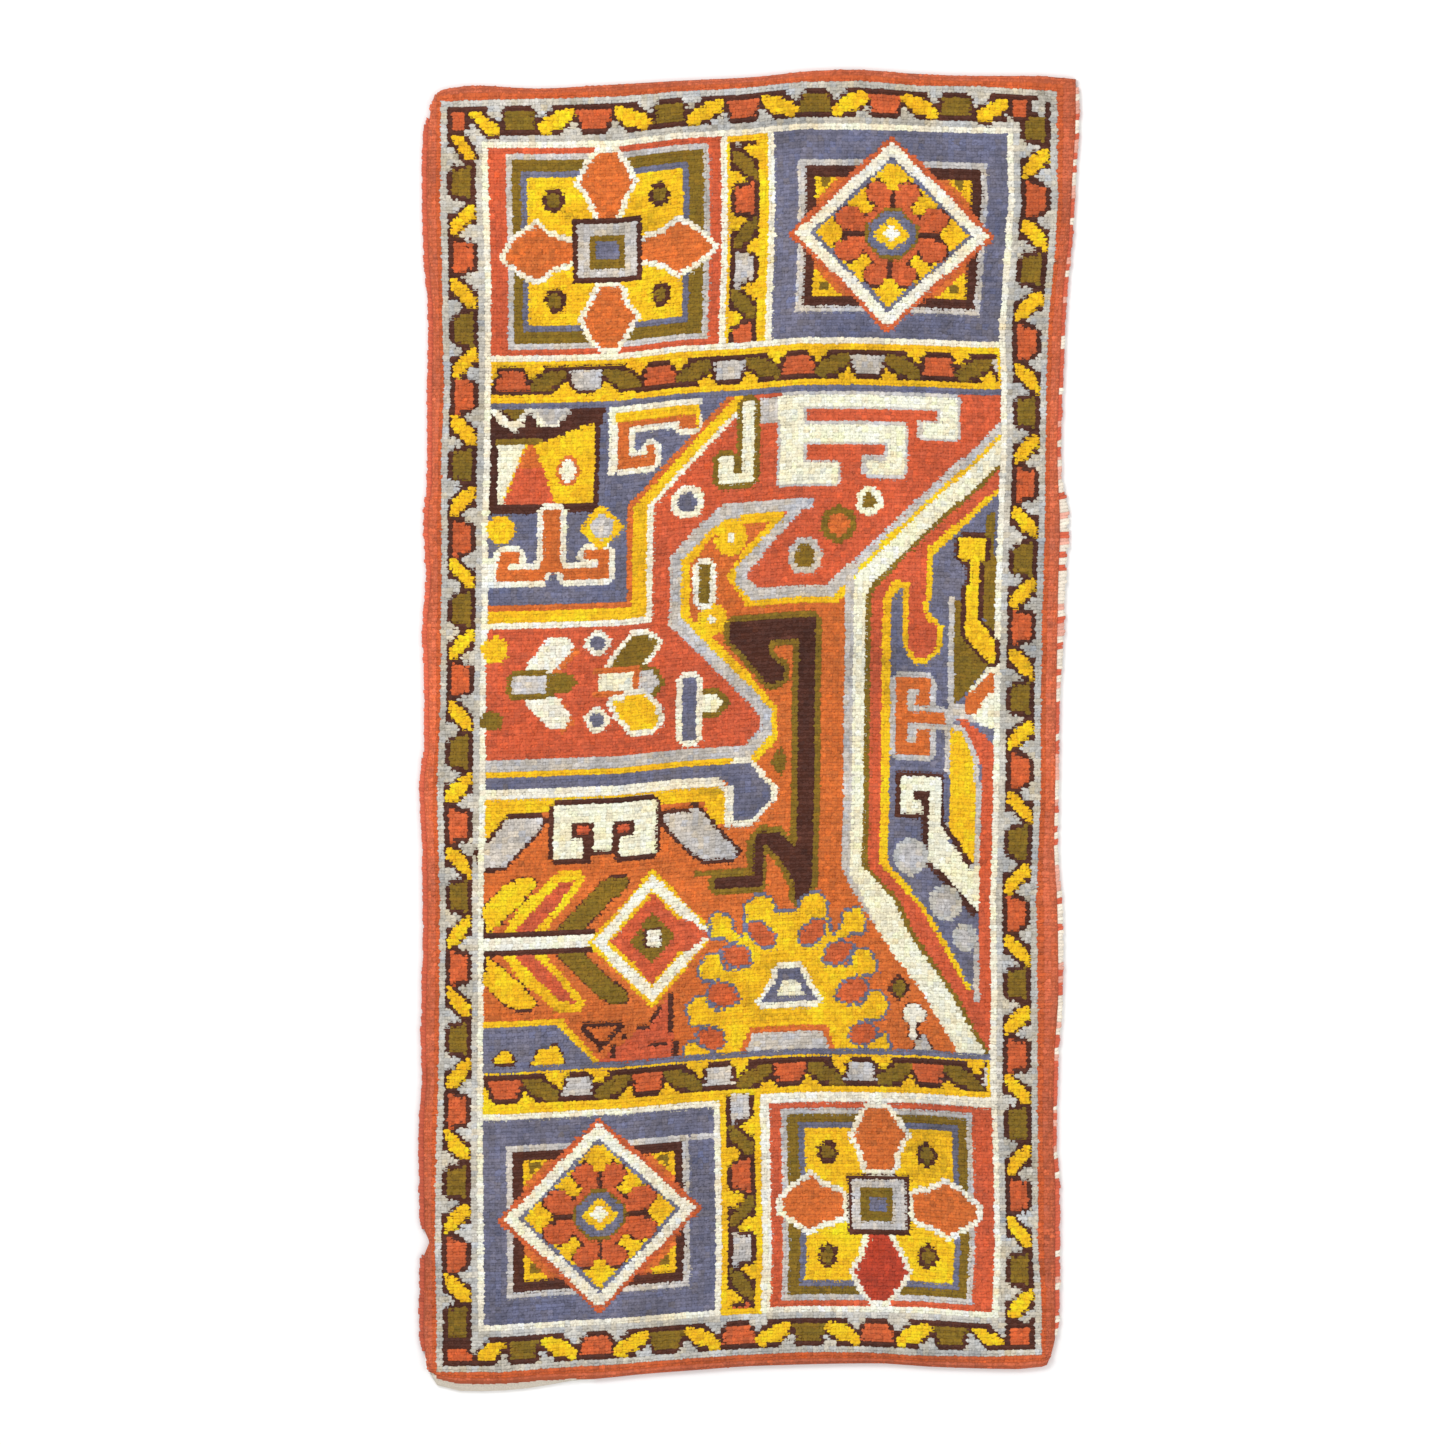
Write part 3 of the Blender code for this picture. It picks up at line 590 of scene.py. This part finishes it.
# Where the middle of the frame lies in the photo, and how far the outline was shifted to centre its box
MIDDLE_PIXEL = (750, 732)
CENTRING = (0.9 * MM, -1.5 * MM)
# Rough sides of the cloth, and the size of one knot, to start a search from
CLOTH_LEFT, CLOTH_RIGHT, CLOTH_TOP, CLOTH_BOTTOM = -0.309, 0.297, 0.617, -0.612
KNOT_WIDE = 0.00551
KNOT_LONG = 0.00564


def frame_x(pixel):
    """Place across in the frame of a photo column."""
    return (np.asarray(pixel, float) - MIDDLE_PIXEL[0]) * PIXEL + CENTRING[0]


def frame_y(pixel):
    """Place along in the frame of a photo row."""
    return (MIDDLE_PIXEL[1] - np.asarray(pixel, float)) * PIXEL + CENTRING[1]


def cloth_outline():
    """Corners of the CAD cloth's flat underside, once round."""
    mesh = bpy.data.objects["rug_body"].data
    points = np.zeros(len(mesh.vertices) * 3)
    mesh.vertices.foreach_get("co", points)
    points = points.reshape(-1, 3)
    low = np.unique(points[points[:, 2] < 0.01 * MM][:, :2].round(6), axis=0)
    return low[np.argsort(np.arctan2(low[:, 1], low[:, 0]))]


OUTLINE = cloth_outline()


def inside_outline(x, y):
    """Which places lie on the cloth."""
    inside = np.zeros(x.shape, bool)
    for (x0, y0), (x1, y1) in zip(OUTLINE, np.roll(OUTLINE, -1, axis=0)):
        if y0 != y1:
            inside ^= ((y0 > y) != (y1 > y)) & (x < x0 + (y - y0) * (x1 - x0) / (y1 - y0))
    return inside


def edge_curve(points, along):
    """Sorted places and offsets of one edge of the outline."""
    points = points[np.argsort(points[:, along])]
    return points[:, along], points[:, 1 - along]


LEFT = edge_curve(OUTLINE[(OUTLINE[:, 0] < -0.295) & (abs(OUTLINE[:, 1]) < 0.59)], 1)
RIGHT = edge_curve(OUTLINE[(OUTLINE[:, 0] > 0.28) & (OUTLINE[:, 1] > -0.59)], 1)
UPPER = edge_curve(OUTLINE[(OUTLINE[:, 1] > 0.605)], 0)
LOWER = edge_curve(OUTLINE[(OUTLINE[:, 1] < -0.595)], 0)


def lay(column, row):
    """Frame place of a point of the chart, for arrays of columns and rows."""
    x = np.interp(column, (0, COLUMNS), (CLOTH_LEFT, CLOTH_RIGHT))
    y = np.interp(row, (0, ROWS), (CLOTH_TOP, CLOTH_BOTTOM))
    side_y = frame_y(SIDE_ROWS)[::-1]
    end_x = frame_x(END_COLUMNS)
    strip_x, strip = np.array(BARE_STRIP, float).T * MM
    for _ in range(4):
        lines = [(0, np.interp(y, *LEFT))]
        lines += [(c, np.interp(y, side_y, frame_x(SIDE_LINES[c])[::-1])) for c in (3, 11, 99, 107)]
        lines += [(COLUMNS, np.interp(y, *RIGHT))]
        x = between(lines, column)
        lines = [(0, np.interp(x, *UPPER))]
        lines += [(r, np.interp(x, end_x, frame_y(END_LINES[r]))) for r in (2, 10, 208, 216)]
        lines += [(ROWS, np.interp(x, *LOWER) + np.interp(x, strip_x, strip))]
        y = between(lines, row)
    return x, y


def between(lines, where):
    """Value at each place, straight between the nearest two of some numbered lines."""
    result = np.zeros(where.shape)
    for (a, low), (b, high) in zip(lines, lines[1:]):
        t = (where - a) / (b - a)
        part = (where >= a) & (where <= b)
        result[part] = (low + (high - low) * t)[part]
    first, last = lines[0], lines[-1]
    result[where < first[0]] = first[1][where < first[0]]
    result[where > last[0]] = last[1][where > last[0]]
    return result


# Colour of each knot


def linear(colour):
    """Linear colour of an sRGB one in 0 to 255."""
    value = np.asarray(colour, float) / 255
    return np.where(value <= 0.04045, value / 12.92, ((value + 0.055) / 1.055) ** 2.4)


def smooth_noise(step_rows, step_columns):
    """Slow random tone over the chart, about -1 to 1."""
    coarse = CHANCE.normal(0, 1, (int(ROWS / step_rows) + 3, int(COLUMNS / step_columns) + 3))
    row_place = down / step_rows
    column_place = across / step_columns
    r0, c0 = row_place.astype(int), column_place.astype(int)
    fr, fc = row_place - r0, column_place - c0
    fr, fc = fr * fr * (3 - 2 * fr), fc * fc * (3 - 2 * fc)
    upper = coarse[r0, c0] * (1 - fc) + coarse[r0, c0 + 1] * fc
    lower = coarse[r0 + 1, c0] * (1 - fc) + coarse[r0 + 1, c0 + 1] * fc
    return upper * (1 - fr) + lower * fr


def each_half(values):
    """Values by knot, repeated for the half knots of the chart."""
    return values.repeat(SPLIT, axis=0).repeat(SPLIT, axis=1)


def knot_colours():
    """Linear colour of each half knot, with uneven dye, abrash and wear."""
    table = np.array([linear(DYES[dye]) for dye in range(len(DYES))])
    colours = table[chart]
    by_knot = CHANCE.normal(0, 1, (ROWS, COLUMNS, 3))
    tone = 1 + 0.075 * each_half(by_knot[..., 0]) + 0.05 * smooth_noise(4, 40) + 0.05 * smooth_noise(8, 8)
    patches = 0.09 * smooth_noise(3, 3) + 0.05 * smooth_noise(12, 12)
    tone += patches * np.isin(chart, (SLATE, YELLOW, BROWN, GREY, GUARD))
    warm = 0.03 * each_half(by_knot[..., 1]) + 0.02 * smooth_noise(6, 6)
    edge_tone = np.interp(down, (0, 54, 104, 154, 188, 218), (0.9, 0.97, 1.12, 0.97, 0.86, 0.84))
    tone[chart == EDGE] *= edge_tone[chart == EDGE]
    tint = np.stack([1 + warm, np.ones_like(warm), 1 - 2 * warm], axis=-1)
    return np.clip(colours * tone[..., None] * tint, 0.004, 0.95)


KNOT_COLOURS = knot_colours()


# Materials


def wool(name, grain=900.0, strength=0.35, sheen=0.25):
    """Matt wool: dyed colour from the mesh, mottled by fibres, with fibre bump and a little sheen."""
    material = bpy.data.materials.new(name)
    material.use_nodes = True
    nodes, links = material.node_tree.nodes, material.node_tree.links
    shader = nodes["Principled BSDF"]
    shader.inputs["Roughness"].default_value = 0.95
    shader.inputs["Specular IOR Level"].default_value = 0.12
    shader.inputs["Sheen Weight"].default_value = sheen
    shader.inputs["Sheen Roughness"].default_value = 0.6
    place = nodes.new("ShaderNodeTexCoord")
    dye = nodes.new("ShaderNodeVertexColor")
    dye.layer_name = "dye"
    fibres = nodes.new("ShaderNodeTexNoise")
    fibres.inputs["Scale"].default_value = grain
    fibres.inputs["Detail"].default_value = 3
    stretch = nodes.new("ShaderNodeMapping")
    stretch.inputs["Scale"].default_value = (1.0, 0.55, 0.35)
    links.new(place.outputs["Object"], stretch.inputs["Vector"])
    links.new(stretch.outputs["Vector"], fibres.inputs["Vector"])
    shade = nodes.new("ShaderNodeMapRange")
    shade.inputs["From Min"].default_value = 0.3
    shade.inputs["From Max"].default_value = 0.7
    shade.inputs["To Min"].default_value = 0.82
    shade.inputs["To Max"].default_value = 1.14
    links.new(fibres.outputs["Fac"], shade.inputs["Value"])
    mottled = nodes.new("ShaderNodeVectorMath")
    mottled.operation = "SCALE"
    links.new(dye.outputs["Color"], mottled.inputs[0])
    links.new(shade.outputs["Result"], mottled.inputs["Scale"])
    links.new(mottled.outputs["Vector"], shader.inputs["Base Color"])
    bump = nodes.new("ShaderNodeBump")
    bump.inputs["Strength"].default_value = strength
    bump.inputs["Distance"].default_value = 0.6 * MM
    links.new(fibres.outputs["Fac"], bump.inputs["Height"])
    links.new(bump.outputs["Normal"], shader.inputs["Normal"])
    return material


def mesh_piece(name, points, faces, colours, bake_map, material):
    """A smooth mesh riding on the rug, from arrays of faces, with a dye and a bake place for each corner."""
    corners = np.concatenate([group.ravel() for group in faces])
    sizes = np.concatenate([np.full(len(group), group.shape[1]) for group in faces])
    mesh = bpy.data.meshes.new(name)
    mesh.vertices.add(len(points))
    mesh.vertices.foreach_set("co", points.astype(np.float32).ravel())
    mesh.loops.add(len(corners))
    mesh.loops.foreach_set("vertex_index", corners.astype(np.int32))
    mesh.polygons.add(len(sizes))
    mesh.polygons.foreach_set("loop_start", (np.cumsum(sizes) - sizes).astype(np.int32))
    mesh.update(calc_edges=True)
    mesh.polygons.foreach_set("use_smooth", np.ones(len(sizes), bool))
    dye = mesh.color_attributes.new("dye", "FLOAT_COLOR", "CORNER")
    rgba = np.ones((len(corners), 4), np.float32)
    rgba[:, :3] = colours if len(colours) == len(corners) else colours[corners]
    dye.data.foreach_set("color", rgba.ravel())
    layer = mesh.uv_layers.new(name="OFBake")
    bake = bake_map if len(bake_map) == len(corners) else bake_map[corners]
    layer.data.foreach_set("uv", bake.astype(np.float32).ravel())
    mesh.materials.append(material)
    piece = bpy.data.objects.new(name, mesh)
    bpy.context.scene.collection.objects.link(piece)
    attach(piece, "root")
    return piece


# Pile

# A strand seen from above, in its own half length and half width: tip, shoulders, tip, shoulders, ridge
STRAND = np.array([(-1, 0), (-0.45, 1), (0.45, 1), (1, 0), (0.45, -1), (-0.45, -1), (-0.4, 0), (0.4, 0)])
STRAND_LEVEL = np.array([-1.4, -1.6, -1.6, -1.4, -1.6, -1.6, 0, 0]) * MM
# Painted shade on each strand's tips and shoulders, darker towards the end on its knot's side, and a painted highlight
# along its ridge
STRAND_PAINTED_SHADE_AND_HIGHLIGHT = np.array([0.8, 0.8, 0.86, 0.96, 0.84, 0.78, 0.98, 1.04])
STRAND_QUADS = np.array([(6, 7, 2, 1), (5, 4, 7, 6)])
STRAND_TRIANGLES = np.array([(0, 6, 1), (0, 5, 6), (3, 2, 7), (3, 7, 4)])
# Half length and half width of a strand, in knots, in the upper and the lower half of its knot
CREST_SIZE = (0.5, 0.33)
VALLEY_SIZE = (0.36, 0.28)
VALLEY_DROP = 0.5 * MM
# Strands stay short at the very side, and the pile wears down over the last half knots before the rim
SIDE_HALF_LONG = 0.26
RIM_WEAR = ((0, 1, 2, 3), (2.2, 1.1, 0.4, 0))
PILE_LIMITS = (4.6 * MM, 8.5 * MM)
BAKE_CELLS_ACROSS = 160
# How far the pile of some dyes stands above the rest
PROUD = {BROWN: -0.8 * MM, WHITE: 0.35 * MM, CREAM: 0.25 * MM, GUARD: 0.15 * MM, YELLOW: 0.1 * MM}


def pile_strip(name, first, last, material):
    """Clipped strands of wool for some columns of the chart, four to a knot, joined in one mesh."""
    rows, columns = np.mgrid[0:ROWS * SPLIT, first:last]
    rows, columns = rows.ravel(), columns.ravel()
    keep = inside_outline(*lay((columns + 0.5) / SPLIT, (rows + 0.5) / SPLIT))
    rows, columns = rows[keep], columns[keep]
    count = len(rows)
    chance = np.random.default_rng(100 + first)
    u, v = (columns + 0.5) / SPLIT, (rows + 0.5) / SPLIT
    x, y = lay(u, v)
    right = np.stack(lay(u + 0.5, v), axis=1) - np.stack(lay(u - 0.5, v), axis=1)
    up = np.stack(lay(u, v - 0.5), axis=1) - np.stack(lay(u, v + 0.5), axis=1)
    # the upper half of each knot stands higher and spreads wider, so every row of knots is a rib
    crest = rows % SPLIT == 0
    mirror = np.where(columns % SPLIT == 0, 1, -1)
    half_long = np.where(crest, CREST_SIZE[0], VALLEY_SIZE[0]) * (1 + 0.2 * chance.normal(0, 1, count))
    half_long = np.clip(half_long, SIDE_HALF_LONG, 0.8)
    half_wide = np.where(crest, CREST_SIZE[1], VALLEY_SIZE[1]) * (1 + 0.12 * chance.normal(0, 1, count))
    side = np.minimum(columns, COLUMNS * SPLIT - 1 - columns)
    half_long = np.where(side < 1, SIDE_HALF_LONG, half_long)
    turn = 0.2 * chance.normal(0, 1, count)
    top = PILE_TOP - np.where(crest, 0, VALLEY_DROP) + 0.28 * MM * chance.normal(0, 1, count)
    for dye, height in PROUD.items():
        top += height * (chart[rows, columns] == dye)
    rim = np.minimum.reduce([side, rows, ROWS * SPLIT - 1 - rows])
    top -= np.interp(rim, *RIM_WEAR) * MM
    top = np.clip(top, *PILE_LIMITS)
    along = STRAND[None, :, 0] * (half_long * mirror)[:, None]
    aside = STRAND[None, :, 1] * half_wide[:, None]
    shift_u = 0.06 * chance.normal(0, 1, count)
    shift_v = 0.04 * chance.normal(0, 1, count)
    spread_u = shift_u[:, None] + along - aside * turn[:, None]
    spread_v = shift_v[:, None] + aside + along * turn[:, None]
    spread_v = spread_v - 0.07 * (STRAND_LEVEL == 0)
    flat = np.stack([x, y], axis=1)[:, None] + spread_u[..., None] * right[:, None] + spread_v[..., None] * up[:, None]
    level = top[:, None] + STRAND_LEVEL[None] * (1 + 0.25 * chance.normal(0, 1, (count, 8)))
    points = np.concatenate([flat, level[..., None]], axis=2)
    tone = 1 + 0.07 * chance.normal(0, 1, count)
    # each strand takes its knot's colour with that painted shade and highlight
    colours = KNOT_COLOURS[rows, columns][:, None] * STRAND_PAINTED_SHADE_AND_HIGHLIGHT[None, :, None] * tone[:, None, None]
    start = (np.arange(count) * len(STRAND))[:, None, None]
    flip = (mirror < 0)[:, None, None]
    quads = STRAND_QUADS[None] + start
    triangles = STRAND_TRIANGLES[None] + start
    quads = np.where(flip, quads[..., ::-1], quads).reshape(-1, 4)
    triangles = np.where(flip, triangles[..., ::-1], triangles).reshape(-1, 3)
    # each strand bakes in a cell of its own
    cells_down = -(-count // BAKE_CELLS_ACROSS)
    cell = np.stack([np.arange(count) % BAKE_CELLS_ACROSS, np.arange(count) // BAKE_CELLS_ACROSS], axis=1)
    bake = (cell[:, None] + 0.5 + 0.42 * STRAND[None]) / (BAKE_CELLS_ACROSS, cells_down)
    return mesh_piece(name, points.reshape(-1, 3), [quads, triangles],
                      np.clip(colours.reshape(-1, 3), 0.003, 0.95), bake.reshape(-1, 2), material)


# Ground weave

PILE_FOOT = 6.3 * MM
RIM_HEIGHT = 4.6 * MM


def knot_under(places):
    """Row and column of the knot nearest to each place."""
    middle_x, middle_y = lay(*np.meshgrid(np.arange(COLUMNS) + 0.5, np.arange(ROWS) + 0.5))
    column = np.clip(((places[:, 0] - CLOTH_LEFT) / KNOT_WIDE).astype(int), 0, COLUMNS - 1)
    row = np.clip(((CLOTH_TOP - places[:, 1]) / KNOT_LONG).astype(int), 0, ROWS - 1)
    best = np.full(len(places), np.inf)
    found = np.stack([row, column], axis=1)
    for down_step in range(-5, 6):
        for across_step in range(-4, 5):
            r = np.clip(row + down_step, 0, ROWS - 1)
            c = np.clip(column + across_step, 0, COLUMNS - 1)
            far = np.hypot(middle_x[r, c] - places[:, 0], middle_y[r, c] - places[:, 1])
            nearer = far < best
            best[nearer] = far[nearer]
            found[nearer] = np.stack([r, c], axis=1)[nearer]
    return found[:, 0], found[:, 1]


def ground_weave(material):
    """The cloth as one closed sheet: the knots' feet above, in their dye darkened as painted shade, their backs below,
    and the bare strip.
    """
    columns, rows = np.meshgrid(np.arange(COLUMNS + 1, dtype=float), np.arange(ROWS + 1, dtype=float))
    x, y = lay(columns, rows)
    inner = inside_outline(x, y)
    inner[:, [0, -1]] = False
    inner[0] = False
    strip_x, strip = np.array(BARE_STRIP, float).T * MM
    bare_depth = np.interp(x, strip_x, strip)
    inner[-1] &= bare_depth[-1] > 1.5 * MM
    grid = np.stack([x[inner], y[inner]], axis=1)
    pile_end = inner[-1]
    beyond = np.stack([x[-1][pile_end], y[-1][pile_end] - 0.9 * MM], axis=1)
    level = np.concatenate([np.full(len(OUTLINE), RIM_HEIGHT), np.full(len(grid), PILE_FOOT),
                            np.full(len(beyond), GROUND)])
    seeds = np.concatenate([OUTLINE, grid, beyond])
    bare = np.interp(seeds[:, 0], strip_x, strip)
    low_edge = np.interp(seeds[:, 0], *LOWER)
    at_strip = (np.arange(len(seeds)) < len(OUTLINE)) & (bare > 1.5 * MM) & (seeds[:, 1] < low_edge + 2 * MM)
    level[at_strip] = GROUND
    loop = list(range(len(OUTLINE)))
    flat, _, triangles, originals, *_ = delaunay_2d_cdt([Vector(p) for p in seeds], [], [loop], 1, 1e-7)
    flat = np.array([tuple(p) for p in flat])
    triangles = np.array(triangles)
    count = len(flat)
    level = np.array([level[source[0]] if source else PILE_FOOT for source in originals])
    a, b, c = flat[triangles[:, 0]], flat[triangles[:, 1]], flat[triangles[:, 2]]
    turn = (b[:, 0] - a[:, 0]) * (c[:, 1] - a[:, 1]) - (b[:, 1] - a[:, 1]) * (c[:, 0] - a[:, 0])
    upward = np.where((turn > 0)[:, None], triangles, triangles[:, ::-1])
    centre = flat[upward].mean(axis=1)
    row, column = knot_under(centre)
    strip_here = np.interp(centre[:, 0], strip_x, strip)
    is_bare = (strip_here > 1.5 * MM) & (centre[:, 1] < np.interp(centre[:, 0], *LOWER) + strip_here - 0.3 * MM)
    knot = KNOT_COLOURS[SPLIT * row, SPLIT * column]
    # the knots' feet take their dye darkened as painted shade, for the shade down among the strands; the bare strip is
    # ivory above and below
    feet = np.where(is_bare[:, None], IVORY * 0.9, knot * 0.72)
    backs = np.where(is_bare[:, None], IVORY * 0.9, knot * 0.95)
    points = np.concatenate([np.column_stack([flat, level]), np.column_stack([flat, np.zeros(count)])])
    owner = {}
    for number, (p, q, r) in enumerate(upward.tolist()):
        owner[p, q] = owner[q, r] = owner[r, p] = number
    rim = [(p, q) for p, q in owner if (q, p) not in owner]
    # the rim walls take the feet's colour a little lighter, so they keep part of that painted shade
    rim_colour = feet[[owner[edge] for edge in rim]] * 1.15
    p, q = np.array(rim).T
    walls = np.concatenate([np.stack([q, p, p + count], axis=1), np.stack([q, p + count, q + count], axis=1)])
    faces = np.concatenate([upward, upward[:, ::-1] + count, walls])
    colours = np.repeat(np.concatenate([feet, backs, rim_colour, rim_colour]), 3, axis=0)
    share = (flat - flat.min(axis=0)) / (flat.max(axis=0) - flat.min(axis=0))
    upper_map = (0.01, 0.01) + share * (0.47, 0.98)
    lower_map = upper_map + (0.51, 0)
    wall_map = upper_map + (share - 0.5) * 0.012
    corner_map = np.concatenate([upper_map, lower_map])[faces.ravel()]
    wall_corners = walls.ravel()
    wall_start = 2 * 3 * len(upward)
    corner_map[wall_start:] = np.where((wall_corners >= count)[:, None], wall_map[wall_corners % count],
                                       upper_map[wall_corners % count])
    return mesh_piece("ground_weave", points, [faces], np.clip(colours, 0.003, 0.95), corner_map, material)


# Overcast sides

# Points round a turn of wool, and rings along it
WRAP_AROUND = 10
WRAP_STATIONS = 4
WRAP_PITCH = 3.1 * MM
CORD_HEIGHT = 5.4 * MM
LUMP_LIMIT = 0.9 * MM


def overcast(name, node, outward, colour_at, material, pitch=WRAP_PITCH):
    """Turns of wool round one side cord, as wide as the CAD binding at each place."""
    low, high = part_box(node)
    mesh = bpy.data.objects[node].data
    cord = np.zeros(len(mesh.vertices) * 3)
    mesh.vertices.foreach_get("co", cord)
    cord = cord.reshape(-1, 3)
    chance = np.random.default_rng(int(1000 * (high[1] - low[1])) + 7)
    edge = LEFT if outward < 0 else RIGHT
    length = high[1] - low[1]
    turns = int(length / pitch)
    places = cord[:, 1]
    reach = cord[:, 0] * outward
    knots = np.unique(places.round(4))
    outer = np.array([reach[abs(places - k) < 0.2 * MM].max() for k in knots])
    points, colours = [], []
    angles = np.arange(WRAP_AROUND) * 2 * math.pi / WRAP_AROUND
    for number in range(turns):
        middle = low[1] + (number + 0.5) * length / turns
        inner_x = float(np.interp(middle, *edge))
        width = max(float(np.interp(middle, knots, outer)) - outward * inner_x, 2 * MM)
        lump = 1 + 0.10 * math.sin(number * 1.7) * chance.random() + 0.06 * chance.normal()
        width = min(width * lump, width + LUMP_LIMIT)
        tall = CORD_HEIGHT * (0.94 + 0.1 * chance.random())
        slant = (0.5 + 0.35 * chance.normal()) * MM
        colour = colour_at(middle, number) * (1 + 0.07 * chance.normal())
        for station in np.linspace(-1, 1, WRAP_STATIONS):
            swell = math.sqrt(1 - (0.9 * station) ** 2)
            thick = 0.84 + 0.16 * swell
            x = inner_x + outward * (width / 2 - 0.5 * MM + np.cos(angles) * (width / 2 + 0.5 * MM) * thick)
            z = tall / 2 * (1 + np.sin(angles) * thick)
            y = middle + station * pitch * 0.55 + np.cos(angles) * slant
            points.append(np.stack([x, y, z], axis=1))
            # each turn is darker towards both its ends, as painted shade in the creases between turns
            colours.append(np.tile(colour * (0.62 + 0.4 * swell), (WRAP_AROUND, 1)))
    points, colours = np.concatenate(points), np.concatenate(colours)
    step = np.arange(WRAP_AROUND)
    ring_quads = np.stack([step, (step + 1) % WRAP_AROUND, (step + 1) % WRAP_AROUND + WRAP_AROUND,
                           step + WRAP_AROUND], axis=1)
    starts = np.array([(n * WRAP_STATIONS + s) * WRAP_AROUND for n in range(turns) for s in range(WRAP_STATIONS - 1)])
    faces = (ring_quads[None] + starts[:, None, None]).reshape(-1, 4)
    if outward > 0:
        faces = faces[:, ::-1]
    # one row of cells around, one column of cells along
    face_count = len(faces)
    wide = 60
    deep = -(-face_count // wide)
    cell = np.stack([np.arange(face_count) % wide, np.arange(face_count) // wide], axis=1)
    corner = np.array([(0.1, 0.1), (0.9, 0.1), (0.9, 0.9), (0.1, 0.9)])
    bake = ((cell[:, None] + corner[None]) / (wide, deep)).reshape(-1, 2)
    return mesh_piece(name, points, [faces], np.clip(colours, 0.003, 0.95), bake, material)


IVORY = linear((240, 228, 210))
PINK = linear((232, 170, 150))
SIDE_RED = linear((212, 98, 68))


def left_wrap_colour(y, number):
    """Red that pales towards the middle of the side."""
    return SIDE_RED * np.interp(y, (-0.6, -0.4, -0.2, 0.05, 0.3, 0.6), (0.82, 0.8, 0.92, 1.1, 0.98, 0.92))


# How much of the right side is worn to ivory and pink, by place along
WORN = ((-0.6, 0.1), (-0.52, 0.45), (-0.4, 0.2), (-0.3, 0.55), (0.0, 0.5), (0.05, 0.85), (0.25, 0.85),
        (0.27, 0.3), (0.45, 0.25), (0.5, 0.8), (0.62, 0.7))


def right_wrap_colour(y, number):
    """Red, or ivory and pink where the side is worn, changing every two turns."""
    worn = np.interp(y, *zip(*WORN))
    draw = (math.sin(number // 2 * 12.9898) * 43758.5453) % 1
    if draw < worn * 0.6:
        return IVORY
    if draw < worn:
        return PINK
    return SIDE_RED


# Build the rug

pile_wool = wool("pile_wool")
side_wool = wool("overcast_wool", grain=1100.0, strength=0.45)
ground_wool = wool("foundation_wool", grain=1300.0, strength=0.5, sheen=0.1)

STRIPS = 4
for number in range(STRIPS):
    first = number * COLUMNS * SPLIT // STRIPS
    last = (number + 1) * COLUMNS * SPLIT // STRIPS
    strip = pile_strip(f"pile_{number + 1}", first, last, pile_wool)

ground = ground_weave(ground_wool)
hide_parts("rug_body")

sides = [
    ("left_overcasting_upper", "left_binding_upper", -1, left_wrap_colour),
    ("left_overcasting_lower", "left_binding_lower", -1, left_wrap_colour),
    ("right_overcasting", "right_binding", 1, right_wrap_colour),
]
for name, node, outward, colours_at in sides:
    piece = overcast(name, node, outward, colours_at, side_wool)
    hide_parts(node)

# Floor, light and camera


def floor():
    """A plain pale floor, far wider than the camera sees."""
    size = 6.0
    mesh = bpy.data.meshes.new("floor")
    mesh.from_pydata([(-size, -size, -0.0005), (size, -size, -0.0005), (size, size, -0.0005),
                      (-size, size, -0.0005)], [], [(0, 1, 2, 3)])
    material = bpy.data.materials.new("floor_paint")
    material.use_nodes = True
    shader = material.node_tree.nodes["Principled BSDF"]
    shader.inputs["Base Color"].default_value = (0.93, 0.93, 0.93, 1)
    shader.inputs["Roughness"].default_value = 0.9
    mesh.materials.append(material)
    piece = bpy.data.objects.new("floor", mesh)
    bpy.context.scene.collection.objects.link(piece)


def area_light(name, place, size, power):
    """A round soft light that faces the middle of the rug."""
    light = bpy.data.lights.new(name, "AREA")
    light.shape = "DISK"
    light.size = size
    light.energy = power
    lamp = bpy.data.objects.new(name, light)
    lamp.location = place
    lamp.rotation_euler = (-Vector(place)).to_track_quat("-Z", "Y").to_euler()
    bpy.context.scene.collection.objects.link(lamp)


floor()
area_light("key_light", (-1.6, 1.8, 3.0), 1.6, 60)
area_light("fill_light", (2.2, -1.4, 3.2), 2.4, 30)
world = bpy.data.worlds.new("studio")
world.use_nodes = True
world.node_tree.nodes["Background"].inputs["Color"].default_value = (1, 1, 1, 1)
world.node_tree.nodes["Background"].inputs["Strength"].default_value = 0.75
scene = bpy.context.scene
scene.world = world
scene.view_settings.view_transform = "Standard"

# Straight above the photo's middle, with its whole width of floor in view
CAMERA_HEIGHT = 12.0
PHOTO_WIDTH = 1445
SENSOR_WIDTH = 36.0
camera_data = bpy.data.cameras.new("camera")
camera_data.sensor_width = SENSOR_WIDTH
camera_data.lens = SENSOR_WIDTH * CAMERA_HEIGHT / (PHOTO_WIDTH * PIXEL)
camera = bpy.data.objects.new("camera", camera_data)
camera.location = (frame_x(PHOTO_WIDTH / 2), frame_y(PHOTO_WIDTH / 2), CAMERA_HEIGHT)
scene.collection.objects.link(camera)
scene.camera = camera
